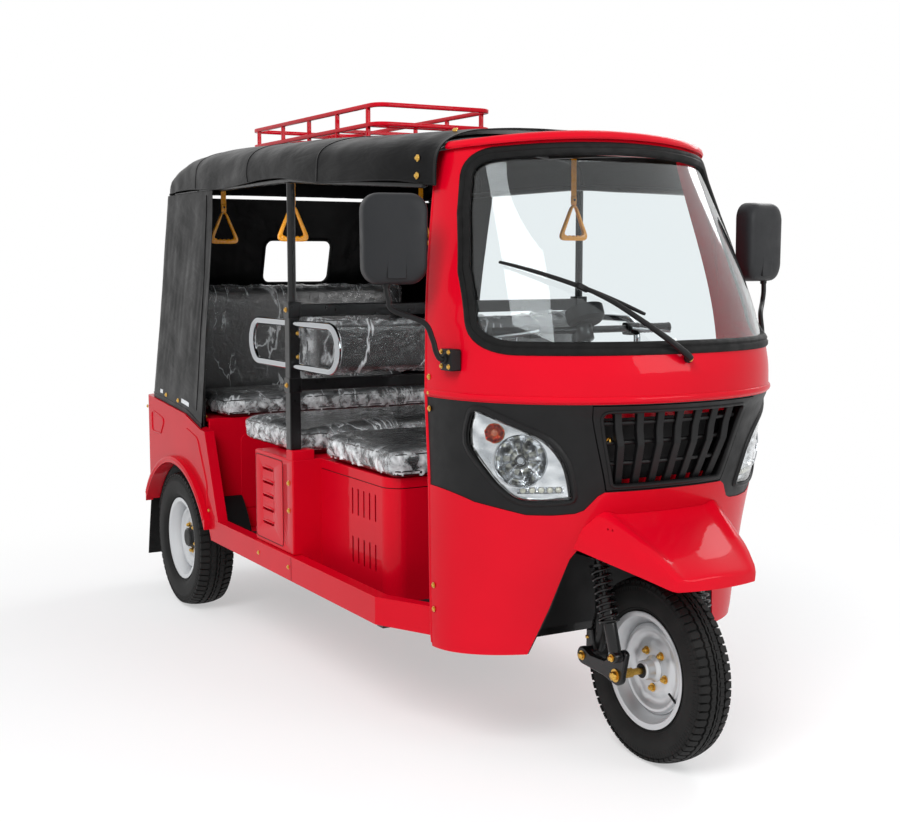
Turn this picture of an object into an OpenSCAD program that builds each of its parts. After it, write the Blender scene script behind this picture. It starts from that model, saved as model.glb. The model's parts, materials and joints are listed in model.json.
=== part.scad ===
// Passenger auto rickshaw: one steered front wheel, driven rear axle, open
// sides, vinyl hood. Millimetres, +Z up, the front faces -Y, the ground is z = 0.

/* [Overall] */
// Length over the front fender and the rear bumper
body_l = 3140; // [2900:10:3600]
// Width over the side panels
body_w = 1240; // [1140:10:1400]
// Distance between the front and the rear axle
wheelbase = 2390; // [2250:10:2500]
// Height of the crown of the hood
hood_h = 1872; // [1840:4:2100]
// Height of the top rail of the roof rack above the hood's crown
rack_h = 96; // [70:2:160]

/* [Wheels] */
// Radius of the front tyre
front_tyre_r = 267; // [250:1:275]
// Width of the front tyre
front_tyre_w = 112; // [90:1:124]
// Radius of the rear tyres
rear_tyre_r = 280; // [255:1:290]
// Width of a rear tyre
rear_tyre_w = 145; // [110:1:150]
// Distance between the rear wheels' centre planes
rear_track = 1090; // [1070:2:1120]
// Radius of the tyre's bead seat on the rim
bead_r = 152; // [130:1:160]
// Height of the rim's flange above the bead seat
flange_h = 16; // [10:1:20]
// Running gap between a shaft and what turns on it
bore_gap = 0.4; // [0.3:0.1:0.6]

/* [Steering] */
// Lean of the steering axis from upright, in degrees
rake = 20; // [16:1:24]
// Distance on the ground from the steering axis to the front wheel's centre
trail = 60; // [40:5:80]
// Diameter of the steering column
column_d = 35; // [30:1:42]
// Half distance between the fork legs
fork_x = 90; // [84:1:96]
// Diameter of the front axle
axle_d = 20; // [16:1:24]

/* [Cab] */
// Width of the cab shell at the belt
cab_w = 1102; // [1060:4:1180]
// Thickness of the cab's walls
cab_t = 25; // [18:1:30]
// Height of the cab's lower edge
nose_z = 315; // [300:5:330]
// Height of the belt lip above the lamp panels
belt_z = 1056; // [1040:2:1080]
// Height of the windscreen frame's top
visor_z = 1740; // [1700:5:1780]
// Thickness of the windscreen
glass_t = 5; // [4:0.5:6]

/* [Body] */
// Height of the underside of the floor
floor_z = 348; // [340:2:356]
// Thickness of the floor
floor_t = 12; // [8:1:16]
// Height of the top of the sills
sill_z = 430; // [420:2:450]
// Thickness of the side panels
side_t = 40; // [30:1:46]
// Height of the body side at the rear end
rear_belt_z = 850; // [820:5:880]
// Thickness of the vinyl hood
hood_t = 10; // [6:1:14]
// Width of the box-section posts
post_w = 40; // [34:1:44]

/* [Seats] */
// Height of the tops of the seat boxes
seat_z = 758; // [740:2:780]
// Thickness of a seat cushion
cushion_t = 102; // [80:2:120]

/* [Hatch] */
// Width of the luggage hatch
hatch_w = 800; // [700:10:880]
// Height of the luggage hatch
hatch_h = 350; // [300:5:360]
// Gap all round the luggage hatch
hatch_gap = 5; // [5:0.5:8]

/* [Hidden] */
$fn = 48;

half_l = body_l / 2;
half_w = body_w / 2;
cab_b = cab_w / 2;
front_y = -half_l + 270;      // front axle
rear_y = front_y + wheelbase; // rear axle
tail_y = half_l - 70;         // outside of the rear panel
seat = 0.3;                   // clearance where two pieces meet
floor_top = floor_z + floor_t;

rear_front_y = rear_y - 485;    // where the rear body starts at the sill
// --- Curves ---------------------------------------------------------------

function spow(v, p) = sign(v) * pow(abs(v), p);

// The cab's shell, by height: half width, front and door edge
cab_levels = [nose_z, nose_z + 35, 600, 800, 1000, belt_z, belt_z + 54, belt_z + 134, 1450, visor_z];
function cab_side(z) = cab_b - lookup(z, [[nose_z, 21], [nose_z + 35, 17], [800, 10],
    [1000, 2], [belt_z, 0], [belt_z + 134, 6], [belt_z + 244, 16], [visor_z, 99]]);
function cab_nose_y(z) = front_y + lookup(z, [[nose_z, 108], [nose_z + 35, 100], [600, 30],
    [800, -45], [1000, -95], [belt_z, -128], [belt_z + 54, -128], [belt_z + 134, -110], [visor_z, 210]]);
function cab_door_y(z) = front_y + lookup(z, [[nose_z, 370], [belt_z, 370], [visor_z, 480]]);
function cab_arch(z) = lookup(z, [[belt_z + 134, 0], [visor_z, 32]]);
cab_steps = 24;
cab_round = 0.909; // roundness of the cab's plan: 1 is an ellipse
function cab_point(z, a, inset) =
    let(b = cab_side(z) - inset, yf = cab_nose_y(z) + inset, yr = cab_door_y(z),
        x = b * spow(sin(a), cab_round))
    [x, yr - (yr - yf) * pow(abs(cos(a)), cab_round), z + cab_arch(z) * (1 - pow(x / b, 2))];
function cab_arc(z, inset) = [for (i = [0:cab_steps]) cab_point(z, -90 + 180 * i / cab_steps, inset)];
function levels(z0, z1, list) = concat([z0], [for (z = list) if (z > z0 + 1 && z < z1 - 1) z], [z1]);
function reversed(list) = [for (i = [len(list) - 1:-1:0]) list[i]];

// Closed solid through rings of equal length, each cap a strip across the ring
module loft_shell(rings) {
    n = len(rings[0]);
    m = len(rings);
    h = n / 2;
    top = (m - 1) * n;
    polyhedron(points = [for (r = rings) for (p = r) p],
        faces = concat(
            [for (j = [0:m - 2]) for (i = [0:n - 1]) let(a = j * n + i, b = j * n + (i + 1) % n)
                each [[b, a, b + n], [b + n, a, a + n]]],
            [for (i = [0:h - 2]) each [[i, i + 1, n - 1 - i], [n - 1 - i, i + 1, n - 2 - i]]],
            [for (i = [0:h - 2]) each [[top + i + 1, top + i, top + n - 1 - i],
                [top + n - 2 - i, top + i + 1, top + n - 1 - i]]]), convexity = 6);
}

// Cab shell between two heights, skin at inset and the wall inwards from it
module cab_shell(z0, z1, inset, wall) {
    loft_shell([for (z = levels(z0, z1, cab_levels))
        concat(cab_arc(z, inset), reversed(cab_arc(z, inset + wall)))]);
}

// Cab as a full solid back to a plane behind its door edges
module cab_core(z0, z1, inset) {
    loft_shell([for (z = levels(z0, z1, cab_levels))
        let(arc = cab_arc(z, inset)) concat(arc, reversed([for (p = arc) [p[0], cab_door_y(z) + 60, p[2]]]))]);
}

// Tube along points, r its radius; a closed one ends where it starts
module sweep(path, r, sides = 8, closed = false) {
    n = len(path);
    last = closed ? n - 1 : n - 2;
    function unit(v) = v / norm(v);
    function heading(i) = closed ? unit(path[(i + 1) % n] - path[(i + n - 1) % n])
        : unit(path[min(i + 1, n - 1)] - path[max(i - 1, 0)]);
    function side(t) = unit(cross(t, abs(t[0]) > 0.8 ? [0, 1, 0] : [1, 0, 0]));
    function level_side(t) = unit(cross(t, [0, 0, 1]));
    polyhedron(points = [for (i = [0:n - 1]) let(t = heading(i), u = closed && abs(t[2]) < 0.1 ? level_side(t) : side(t),
            v = cross(t, u)) for (k = [0:sides - 1])
            path[i] + r * (u * cos(360 * k / sides) + v * sin(360 * k / sides))],
        faces = concat(closed ? [] : [[for (k = [0:sides - 1]) k],
                [for (k = [sides - 1:-1:0]) (n - 1) * sides + k]],
            [for (i = [0:last]) for (k = [0:sides - 1]) let(j = (i + 1) % n) [i * sides + k, j * sides + k,
                j * sides + (k + 1) % sides, i * sides + (k + 1) % sides]]), convexity = 6);
}

module mirrored() { children(); mirror([1, 0, 0]) children(); }
// Box from a low corner to a high corner
module block(lo, hi) { translate(lo) cube(hi - lo); }
// Prism with an outline in x and z, from y0 to y1
module prism_y(outline, y0, y1) {
    translate([0, y1, 0]) rotate([90, 0, 0]) linear_extrude(y1 - y0) polygon(outline);
}
// Prism with an outline in y and z, from x0 to x1
module prism_x(outline, x0, x1) {
    translate([x0, 0, 0]) rotate([90, 0, 90]) linear_extrude(x1 - x0) polygon(outline);
}
module rod_x(x0, x1, y, z, d) { translate([x0, y, z]) rotate([0, 90, 0]) cylinder(h = x1 - x0, d = d); }
module rod(a, b, d) {
    v = b - a;
    translate(a) rotate([0, acos(v[2] / norm(v)), atan2(v[1], v[0])]) cylinder(h = norm(v), d = d);
}
// Places children on the steering axis, which leans back as it rises
head_y0 = front_y - trail;
function head_y(z) = head_y0 + z * tan(rake);
module on_head(z) { translate([0, head_y(z), z]) rotate([-rake, 0, 0]) children(); }

// --- Chassis --------------------------------------------------------------

rail_x = 240;
rail_w = 50;
rail_h = 58;
rail_z = floor_z - rail_h;
engine_y0 = (front_y + rear_y) / 2 - 395;
engine_y1 = (front_y + rear_y) / 2 + 65;
cross_w = 40;
axle_z = rear_tyre_r + 1;
head_z0 = 716;
head_z1 = 980;
head_od = column_d + 25;
bulkhead_y = front_y + 371;
arch_y = rear_y - 10;
arch_r = 431;
arch_z = 169 + rear_tyre_r - 280;

// Holes in the rear bumper for a bolted carrier
hole_x = 450 * half_w / 620;
hole_r = 6.5;
module chassis_frame() color("dimgray") {
    difference() {
        union() {
            mirrored() {
                block([rail_x, bulkhead_y, rail_z], [rail_x + rail_w, tail_y - side_t, floor_z]);
                block([rail_x, tail_y - side_t, rail_z], [rail_x + rail_w, half_l - 50, floor_z - 8]);
                for (y = [front_y + 0.25 * wheelbase, post_y, front_y + 0.778 * wheelbase])
                    block([rail_x + rail_w, y, floor_z - 30], [half_w - sill_w, y + cross_w, floor_z]);
            }
            for (y = [bulkhead_y, engine_y0 - cross_w, engine_y1, rear_y - 300])
                block([-rail_x, y, rail_z], [rail_x, y + cross_w, floor_z]);
            block([-0.85 * half_w, half_l - 50, rail_z + 4], [0.85 * half_w, half_l, floor_z - 4]);
            // Post and gusset that hold the steering head
            block([-25, bulkhead_y, floor_z], [25, bulkhead_y + cross_w, 880]);
            block([-8, head_y(head_z0), 740], [8, bulkhead_y + 5, 860]);
            on_head(head_z0) cylinder(h = (head_z1 - head_z0) / cos(rake), d = head_od);
        }
        on_head(head_z0 - 40) cylinder(h = (head_z1 - head_z0 + 80) / cos(rake), d = column_d + 2 * bore_gap);
        mirrored() translate([hole_x, half_l - 25, rail_z]) cylinder(h = rail_h, r = hole_r);
        // Notches that let the rear axle pass under the rails
        mirrored() block([rail_x - 1, rear_y - 60, rail_z - 1], [rail_x + rail_w + 1, rear_y + 60, axle_z + 42]);
    }
}

sill_kink_y = front_y + 560;
sill_w = 45;
sill_low = floor_z - 3;
cab_foot_y = bulkhead_y + 6;
housing_t = 8;
housing_x = (rear_track - rear_tyre_w) / 2 - 18;
panel_x = half_w - side_t;      // inside of the side panels
sill_end = arch_y - 396;

module floor_pan() color("firebrick") {
    foot_x = cab_side(floor_z) - 2;
    difference() {
        translate([0, 0, floor_z]) linear_extrude(floor_t) polygon([
            [-foot_x + sill_w, cab_foot_y], [-half_w + sill_w, sill_kink_y],
            [-half_w + sill_w, tail_y - side_t], [half_w - sill_w, tail_y - side_t],
            [half_w - sill_w, sill_kink_y], [foot_x - sill_w, cab_foot_y]]);
        block([-rail_x + 15, engine_y0, floor_z - 1], [rail_x - 15, engine_y1, floor_top + 1]);
        mirrored() block([housing_x - housing_t, arch_y - 402, floor_z - 1],
            [half_w, arch_y + 402, floor_top + 1]);
        block([-25 - seat, bulkhead_y - 1, floor_z - 1], [25 + seat, bulkhead_y + cross_w + seat, floor_top + 1]);
    }
    mirrored() translate([0, 0, sill_low]) linear_extrude(sill_z - sill_low) polygon([
        [foot_x - sill_w, cab_foot_y], [foot_x, cab_foot_y], [half_w, sill_kink_y],
        [half_w, sill_end], [half_w - sill_w, sill_end], [half_w - sill_w, sill_kink_y]]);
}

// --- Cab ------------------------------------------------------------------

panel_z0 = 765;   // lower edge of the lamp panels
panel_z1 = belt_z - 11;
grille_z0 = 795;
grille_top = 285;
grille_low = 206;
well_top = 700;

// Middle of the nose, which rises to the grille
chin = [[-grille_low - 14, panel_z0 - 1], [-grille_low, grille_z0], [grille_low, grille_z0],
    [grille_low + 14, panel_z0 - 1]];
// Opening in the nose for the steered wheel
well = [[-345, nose_z - 15], [-319, 377], [-296, 452], [-266, 601], [-258, well_top],
    [258, well_top], [266, 601], [296, 452], [319, 377], [345, nose_z - 15]];
well_in = [for (p = well) [p[0] - sign(p[0]) * 6, p[1] < nose_z ? p[1] : min(p[1], well_top - 6)]];

module cab_nose() color("crimson") difference() {
    union() {
        cab_shell(nose_z, panel_z0, 0, cab_t);
        intersection() {
            cab_shell(panel_z0, grille_z0, 0, cab_t);
            prism_y(chin, front_y - 300, front_y + 100);
        }
    }
    prism_y(well, front_y - 200, front_y + 340);
}

module wheel_liner() color([0.1, 0.1, 0.1]) difference() {
    intersection() {
        cab_core(nose_z + 1, well_top + 40, 3);
        prism_y(well, front_y - 150, bulkhead_y);
    }
    prism_y(well_in, front_y - 200, bulkhead_y - 6);
    on_head(well_top - 60) cylinder(h = 120, d = 110);
    translate([0, head_y(well_top) - 60, well_top - 20]) cylinder(h = 60, d = 90);
}

fender_w0 = 141;
fender_w1 = 262;
fender_y0 = -half_l;
fender_y1 = front_y + 60;
function fender_mix(a, b, k) = a + (b - a) * k;
function fender_ring(k, inset) = let(
        y = fender_mix(fender_y0 + (inset > 0 ? -1 : 0), fender_y1, k), w = fender_mix(fender_w0, fender_w1, k) - inset,
        ridge = fender_mix(132, 197, k) - inset * 0.7, low = fender_mix(572, 612, k),
        top = fender_mix(606, 765, pow(k, 0.9)) - inset, crown = fender_mix(10, 10, k))
    [[-w, y, low - (inset > 0 ? 1 : 0)], [-w, y, fender_mix(low, top, 0.35)], [-ridge, y, top], [0, y, top + crown],
     [ridge, y, top], [w, y, fender_mix(low, top, 0.35)], [w, y, low - (inset > 0 ? 1 : 0)]];
module fender_body(inset) {
    rings = [for (i = [0:8]) fender_ring(i / 8, inset)];
    n = len(rings[0]);
    polyhedron(points = [for (r = rings) for (p = r) p], faces = concat(
        [[for (k = [0:n - 1]) k]], [[for (k = [n - 1:-1:0]) 8 * n + k]],
        [for (j = [0:7]) for (i = [0:n - 1])
            [j * n + i, (j + 1) * n + i, (j + 1) * n + (i + 1) % n, j * n + (i + 1) % n]]), convexity = 4);
}
module front_fender() color("crimson") difference() {
    fender_body(0);
    difference() {
        fender_body(8);
        block([-400, fender_y0 - 10, 0], [400, fender_y0 + 10, 900]);
    }
    cab_core(nose_z + 100, grille_z0, -seat);
}

// Outline of a headlamp as seen from the front, on the +X side
lamp_outline = [[508, 1022], [441, 980], [372, 941], [331, 893], [311, 850], [291, 778],
    [396, 774], [443, 802], [480, 857], [509, 928]];
module lamp_prism() { prism_y(lamp_outline, front_y - 200, front_y + 300); }
module grille_prism(in) {
    prism_y([[-grille_low + in, grille_z0 + in], [-grille_top + in, panel_z1 + 1 - in],
        [grille_top - in, panel_z1 + 1 - in], [grille_low - in, grille_z0 + in]], front_y - 300, front_y + 200);
}
module lamp_panels() color([0.12, 0.12, 0.13]) difference() {
    cab_shell(panel_z0, panel_z1, 0, cab_t);
    prism_y(chin, front_y - 300, front_y + 200);
    grille_prism(0);
    mirrored() lamp_prism();
}
module headlamps() color("lightgray") intersection() {
    cab_shell(panel_z0, panel_z1, 2, 40);
    mirrored() lamp_prism();
}
slat_n = 8;
module grille() color([0.12, 0.12, 0.13]) {
    difference() {
        intersection() { cab_shell(grille_z0, panel_z1, 0, cab_t); grille_prism(0); }
        grille_prism(22);
    }
    intersection() {
        cab_shell(grille_z0 + 10, panel_z1 - 10, 6, 14);
        grille_prism(20);
        union() {
            for (i = [0:slat_n - 1]) let(x = (i - (slat_n - 1) / 2) * 55)
                prism_y([[0.78 * x - 9, grille_z0], [x - 9, panel_z1], [x + 9, panel_z1], [0.78 * x + 9, grille_z0]],
                    front_y - 300, front_y + 200);
            for (k = [1:3]) block([-grille_top, front_y - 300, grille_z0 + 58 * k - 4],
                [grille_top, front_y + 200, grille_z0 + 58 * k + 4]);
        }
    }
}

// Screen opening as seen from the front, grown by g
module screen_prism(g) {
    lo = belt_z + 119 - g;
    hi = visor_z - 14 + g;
    w0 = cab_side(lo) - 20 + g;
    w1 = cab_side(hi) - 16 + g;
    c = 64 + g / 2;
    prism_y([[-w0 + c, lo], [-w0 + c / 4, lo + c / 4], [-w0, lo + c],
        [-w1, hi - c], [-w1 + c / 4, hi - c / 4], [-w1 + c, hi + 4], [0, hi + 22],
        [w1 - c, hi + 4], [w1 - c / 4, hi - c / 4], [w1, hi - c],
        [w0, lo + c], [w0 - c / 4, lo + c / 4], [w0 - c, lo]], front_y - 300, front_y + 400);
}
module cab_front() color("crimson") difference() {
    union() {
        cab_shell(panel_z1, visor_z, 0, cab_t);
        cab_shell(panel_z1, belt_z + 12, -8, 9);
    }
    screen_prism(0);
}
module windshield_seal() color("black") difference() {
    intersection() {
        cab_shell(belt_z + 110, visor_z - 1, -3, cab_t + 3);
        screen_prism(0);
    }
    screen_prism(-34);
}
module windshield_glass() color([0.7, 0.8, 0.8, 0.4]) intersection() {
    cab_shell(belt_z + 125, visor_z - 3, 8, glass_t);
    screen_prism(-34);
}
visor_t = 24;
module roof_visor() color("crimson") difference() {
    loft_shell([for (k = [0, 1]) let(arc = cab_arc(visor_z, k == 0 ? -16 : -12))
        concat([for (p = arc) [p[0], p[1], p[2] + (k ? visor_t : seat)]],
            reversed([for (p = arc) [p[0], cab_door_y(visor_z) + 6, p[2] + (k ? visor_t : seat)]]))]);
    block([-half_w, front_y + 420 - seat, visor_z - 20], [half_w, front_y + 600, visor_z + 100]);
}
// Depth of the cab's skin at a width and a height
function cab_y(x, z) = let(yf = cab_nose_y(z), yr = cab_door_y(z))
    yr - (yr - yf) * pow(cos(asin(pow(abs(x) / cab_side(z), 1 / cab_round))), cab_round);
// Point out from the cab's skin at a width and a height
function off_cab(x, z, out) = [x, cab_y(x, z) - out, z];
module wiper() color([0.05, 0.05, 0.05]) {
    z0 = belt_z + 108;
    sweep([for (x = [-434:52:-122]) off_cab(x, belt_z + 222 - 0.449 * (x + 121), 14)], 6, 6);
    sweep([off_cab(-13, z0, 18), off_cab(-50, z0 + 27, 32), off_cab(-130, z0 + 86, 32),
        off_cab(-200, z0 + 137, 30), off_cab(-270, z0 + 182, 22)], 6, 6);
    translate([-13, cab_y(-13, z0) - 20, z0]) rotate([-90, 0, 0]) cylinder(h = 16.6, d = 26);
}
mirror_at = [662, front_y + 345, 1486];
module mirrors() color([0.1, 0.1, 0.1]) mirrored() {
    foot = [cab_b + 7, front_y + 236, 1158];
    sweep([foot, foot + [18, 0, 0], foot + [30, 4, 30], foot + [42, 20, 80],
        mirror_at + [20, -4, -158], mirror_at + [26, 0, -132], mirror_at + [26, 0, -110]], 8);
    difference() {
        block([cab_b - 24, front_y + 206, 1126], [cab_b + 12, front_y + 266, 1186]);
        cab_core(1100, 1220, -seat);
    }
    translate(mirror_at) rotate([0, 0, -8]) translate([-95, -30, -125]) hull() {
        for (x = [28, 162], z = [28, 222]) translate([x, 0, z]) rotate([-90, 0, 0]) cylinder(h = 52, r = 28, $fn = 32);
        for (x = [40, 150], z = [40, 210]) translate([x, -8, z]) rotate([-90, 0, 0]) cylinder(h = 66, r = 28, $fn = 32);
    }
}
module dashboard() color([0.15, 0.15, 0.15]) intersection() {
    cab_core(belt_z - 29, belt_z - 6, cab_t + 0.8);
    block([-half_w, front_y - 200, 0], [half_w, front_y + 100, 2000]);
}

// --- Hood -----------------------------------------------------------------

hood_y0 = front_y + 420;
hood_y1 = tail_y - 254;
post_y = front_y + 1240;
post_x = 585 * half_w / 620;
function hood_half(y) = half_w - lookup(y, [[hood_y0, 128], [front_y + 700, 56], [front_y + 1000, 18], [post_y, 8],
    [tail_y - 374, 8], [tail_y - 320, 23], [tail_y - 275, 50], [hood_y1, 98]]);
function hood_top(y) = hood_h - lookup(y, [[hood_y0, 56], [front_y + 1300, 22], [tail_y - 800, 0],
    [tail_y - 550, 4], [tail_y - 417, 36], [tail_y - 320, 88], [hood_y1, 165]]);
function hood_low(y) = hood_h - lookup(y, [[hood_y0, 237], [front_y + 1000, 200], [front_y + 1300, 182]]);
hood_steps = 24;
function hood_arc(y, inset) = [for (i = [0:hood_steps]) let(a = -90 + 180 * i / hood_steps, zb = hood_low(y))
    [(hood_half(y) - inset) * spow(sin(a), 0.55), y, zb + (hood_top(y) - inset - zb) * pow(abs(cos(a)), 0.42)]];
function hood_z(x, y) = let(zb = hood_low(y))
    zb + (hood_top(y) - zb) * pow(cos(asin(pow(abs(x) / hood_half(y), 1 / 0.55))), 0.42);

hood_stations = [hood_y0, front_y + 700, front_y + 1000, post_y, front_y + 1300, tail_y - 800,
    tail_y - 550, tail_y - 417, tail_y - 374, tail_y - 320, tail_y - 275, hood_y1];
module canopy_cover() color([0.13, 0.13, 0.14]) {
    loft_shell([for (y = hood_stations) concat(hood_arc(y, 0), reversed(hood_arc(y, hood_t)))]);
}

curtain_z1 = hood_h - 182;
curtain_w = half_w - 8;
function belt_line(y) = lookup(y, [[rear_front_y, sill_z], [rear_front_y + 135, 765], [rear_front_y + 185, 767],
    [tail_y - 520, rear_belt_z - 37], [tail_y - 60, rear_belt_z]]);
function curtain_back(z) = tail_y - lookup(z, [[rear_belt_z, 2], [curtain_z1, 254]]);
function curtain_edge(z) = rear_front_y + lookup(z, [[rear_belt_z, 195], [1280, 100], [curtain_z1, 15]]);
curtain_r = 120;
// Half plan of the curtain from its front edge round to the middle of the back
function curtain_half(z, inset) = let(w = curtain_w - inset, r = curtain_r - inset, y1 = curtain_back(z) - inset)
    concat([[w, curtain_edge(z)], [w, tail_y - 520]],
        [for (k = [0:6]) [w - r + r * cos(15 * k), y1 - r + r * sin(15 * k)]]);
function curtain_arc(z, inset, foot) = let(half = curtain_half(z, inset))
    [for (p = concat([for (q = half) [-q[0], q[1]]], reversed(half)))
        [p[0], p[1], foot ? belt_line(p[1]) + seat + 0.2 : z]];
window_x = 30;
module rear_curtain() color([0.13, 0.13, 0.14]) difference() {
    loft_shell([for (z = [rear_belt_z, 1000, 1280, curtain_z1])
        concat(curtain_arc(z, 0, z == rear_belt_z), reversed(curtain_arc(z, hood_t, z == rear_belt_z)))]);
    block([window_x - 160, tail_y - 400, 1330], [window_x + 160, tail_y, 1520]);
}

frame_d = 22;
stay_y = tail_y - 675;
module canopy_frame() color([0.1, 0.1, 0.1]) {
    gap = hood_t + frame_d / 2 + 5;
    for (y = [front_y + 494, post_y, tail_y - 800]) sweep(hood_arc(y, gap), frame_d / 2);
    mirrored() {
        sweep([for (y = [front_y + 494, front_y + 700, front_y + 1000, post_y, front_y + 1300,
            tail_y - 800, tail_y - 550]) [450, y, hood_z(450, y) - gap]], frame_d / 2);
        sweep([for (y = [front_y + 494, front_y + 700, front_y + 1000, post_y, tail_y - 800, tail_y - 400])
            [hood_half(y) - gap, y, hood_low(y) + 6]], frame_d / 2);
        // Rear stays stand on the rear body
        translate([panel_x + 11.5, stay_y, belt_line(stay_y + 9) + seat])
            cylinder(h = hood_low(stay_y) + 8 - belt_line(stay_y + 9), d = 18);
    }
}

rack_w = 480;
rack_y0 = front_y + 1300;
rack_y1 = tail_y - 340;
rack_d = 16;
module rack_rails(z) {
    c = 60;
    x = rack_w / 2 - rack_d / 2;
    corner = [for (k = [0:4]) let(a = 90 * k / 4) c * [sin(a), 1 - cos(a)]];
    function turn(p, sx, y0, sy) = [sx * (x - c + p[0]), y0 + sy * p[1], z];
    sweep(concat([for (p = corner) turn(p, 1, rack_y0, 1)], [for (p = reversed(corner)) turn(p, 1, rack_y1, -1)],
        [for (p = corner) turn(p, -1, rack_y1, -1)], [for (p = reversed(corner)) turn(p, -1, rack_y0, 1)]),
        rack_d / 2, closed = true);
}
module roof_rack() color("crimson") {
    top_z = hood_h + rack_h;
    low_z = hood_h + 30;
    rack_rails(top_z);
    rack_rails(low_z);
    x = rack_w / 2 - rack_d / 2;
    mirrored() for (k = [0:4]) let(y = rack_y0 + 70 + k * (rack_y1 - rack_y0 - 140) / 4)
        let(foot = max(hood_z(x, y - 7), hood_z(x, y + 7), hood_z(x - 7, y)) + seat)
            translate([x, y, foot]) cylinder(h = top_z - foot, d = 14);
    for (k = [0:4]) let(y = rack_y0 + 70 + k * (rack_y1 - rack_y0 - 140) / 4) rod_x(-x, x, y, low_z, 14);
}

bar_z0 = 1030;
bar_z1 = 1240;
stub_z = seat_z + 32;
module centre_posts() color([0.1, 0.1, 0.1]) {
    mirrored() {
        block([post_x - post_w / 2, post_y - post_w / 2, stub_z], [post_x + post_w / 2, post_y + post_w / 2, bar_z1 + 50]);
        translate([post_x, post_y, bar_z1 + 50]) cylinder(h = hood_low(post_y) - 6 - bar_z1 - 50, d = 28);
    }
    block([-post_x, post_y - 16, bar_z1], [post_x, post_y + 16, bar_z1 + 42]);
    block([-post_x, post_y - 16, bar_z0 - 40], [post_x, post_y + 16, bar_z0]);
}
rail_r = 72;
rail_reach = 365;
rail_d = 25;
module grab_rails() color("silver") mirrored() translate([post_x, post_y, 1146]) for (s = [-1, 1]) {
    for (z = [-rail_r, rail_r]) translate([0, s * (post_w / 2 + seat), z]) rotate([-s * 90, 0, 0])
        cylinder(h = rail_reach - rail_r - post_w / 2 - seat, d = rail_d);
    translate([0, s * (rail_reach - rail_r), 0]) rotate([90, 0, 90]) rotate([0, 0, -s * 90])
        rotate_extrude(angle = 180) translate([rail_r, 0]) circle(d = rail_d);
}
handle_x = 0.726 * half_w;
handle_spots = [[-handle_x, front_y + 1540], [-handle_x, front_y + 2240],
    [handle_x, front_y + 1085], [handle_x, front_y + 2240]];
module grab_handles() color("orange") for (s = handle_spots) {
    top = hood_z(s[0], s[1]) - hood_t - frame_d - 5 - seat;
    translate([s[0], s[1], 0]) {
        sweep([[-42, 0, 1500], [42, 0, 1500], [52, 0, 1508], [54, 0, 1520], [14, 0, 1622], [0, 0, 1630],
            [-14, 0, 1622], [-54, 0, 1520], [-52, 0, 1508]], 8, closed = true);
        block([-11, -3, 1634], [11, 3, top]);
    }
}

// --- Seats ----------------------------------------------------------------

box_y0 = front_y + 0.2887 * wheelbase;
box_x = 0.8065 * half_w;
step_y0 = post_y - 35;
step_y1 = post_y + 304;
step_x = half_w - 14;
box_t = 8;
module rounded_slab(x, y0, y1, r, z0, z1) {
    translate([0, 0, z0]) linear_extrude(z1 - z0) union() {
        translate([-x + r, y0]) square([2 * x - 2 * r, y1 - y0]);
        translate([-x, y0 + r]) square([2 * x, y1 - y0 - r]);
        for (s = [-1, 1]) translate([s * (x - r), y0 + r]) circle(r = r);
    }
}
module seat_box() color("crimson") difference() {
    union() {
        rounded_slab(box_x, box_y0, step_y0 + 1, 60, floor_top, seat_z);
        block([-half_w + sill_w + seat, step_y0, floor_top], [half_w - sill_w - seat, step_y1, seat_z]);
        block([-step_x, step_y0, sill_z], [step_x, step_y1, seat_z]);
        mirrored() block([post_x - post_w / 2, step_y0, seat_z - 1], [step_x, step_y0 + 70, stub_z]);
    }
    rounded_slab(box_x - box_t, box_y0 + box_t, step_y0 + 20, 52, floor_top - 1, seat_z - box_t);
    block([-half_w + sill_w + box_t, step_y0 + 10, floor_top - 1], [half_w - sill_w - box_t, step_y1 - box_t, seat_z - box_t]);
    for (k = [0:4], z = [450, 610]) mirrored()
        block([box_x - 20, box_y0 + 115 + 34 * k, z], [box_x + 5, box_y0 + 129 + 34 * k, z + 78]);
}
module soft_block(x, y0, y1, z0, z1, r) {
    translate([0, 0, z0]) linear_extrude(z1 - z0) union() {
        translate([-x + r, y0]) square([2 * x - 2 * r, y1 - y0]);
        translate([-x, y0 + r]) square([2 * x, y1 - y0 - 2 * r]);
        for (s = [-1, 1], y = [y0 + r, y1 - r]) translate([s * (x - r), y]) circle(r = r);
    }
}
seat_top = seat_z + seat + cushion_t;
module driver_seat() color([0.12, 0.12, 0.13]) { soft_block(box_x + 20, box_y0 - 40, post_y - 58, seat_z + seat, seat_top, 40); }
module middle_bench() color([0.12, 0.12, 0.13]) {
    soft_block(post_x - post_w / 2 - 8, post_y + 22, post_y + 600, seat_z + seat, seat_top, 40);
}
module middle_backrest() color([0.12, 0.12, 0.13]) {
    block([-post_x + post_w / 2 + 8, post_y - 52, bar_z0 + seat], [post_x - post_w / 2 - 8, post_y + 40, bar_z1 - seat]);
}
bench_y0 = rear_front_y + 190;
bench_z = seat_z + 50;
module rear_bench_base() color("crimson") difference() {
    union() {
        block([-panel_x + seat, bench_y0, floor_top], [panel_x - seat, bench_y0 + 14, bench_z]);
        block([-panel_x + seat, bench_y0, bench_z - 14], [panel_x - seat, tail_y - corner_r, bench_z]);
    }
    mirrored() translate([housing_x - housing_t - seat, arch_y, arch_z]) rotate([0, 90, 0])
        cylinder(h = 400, r = arch_r + seat, $fn = 96);
    mirrored() block([panel_x - 40, bench_y0 - 1, 0], [panel_x + 40, bench_y0 + 60, sill_z + 2]);
}
module rear_bench_cushion() color([0.12, 0.12, 0.13]) {
    soft_block(panel_x - 45, bench_y0 - 35, tail_y - 310, bench_z + seat, bench_z + seat + cushion_t - 8, 40);
}
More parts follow.
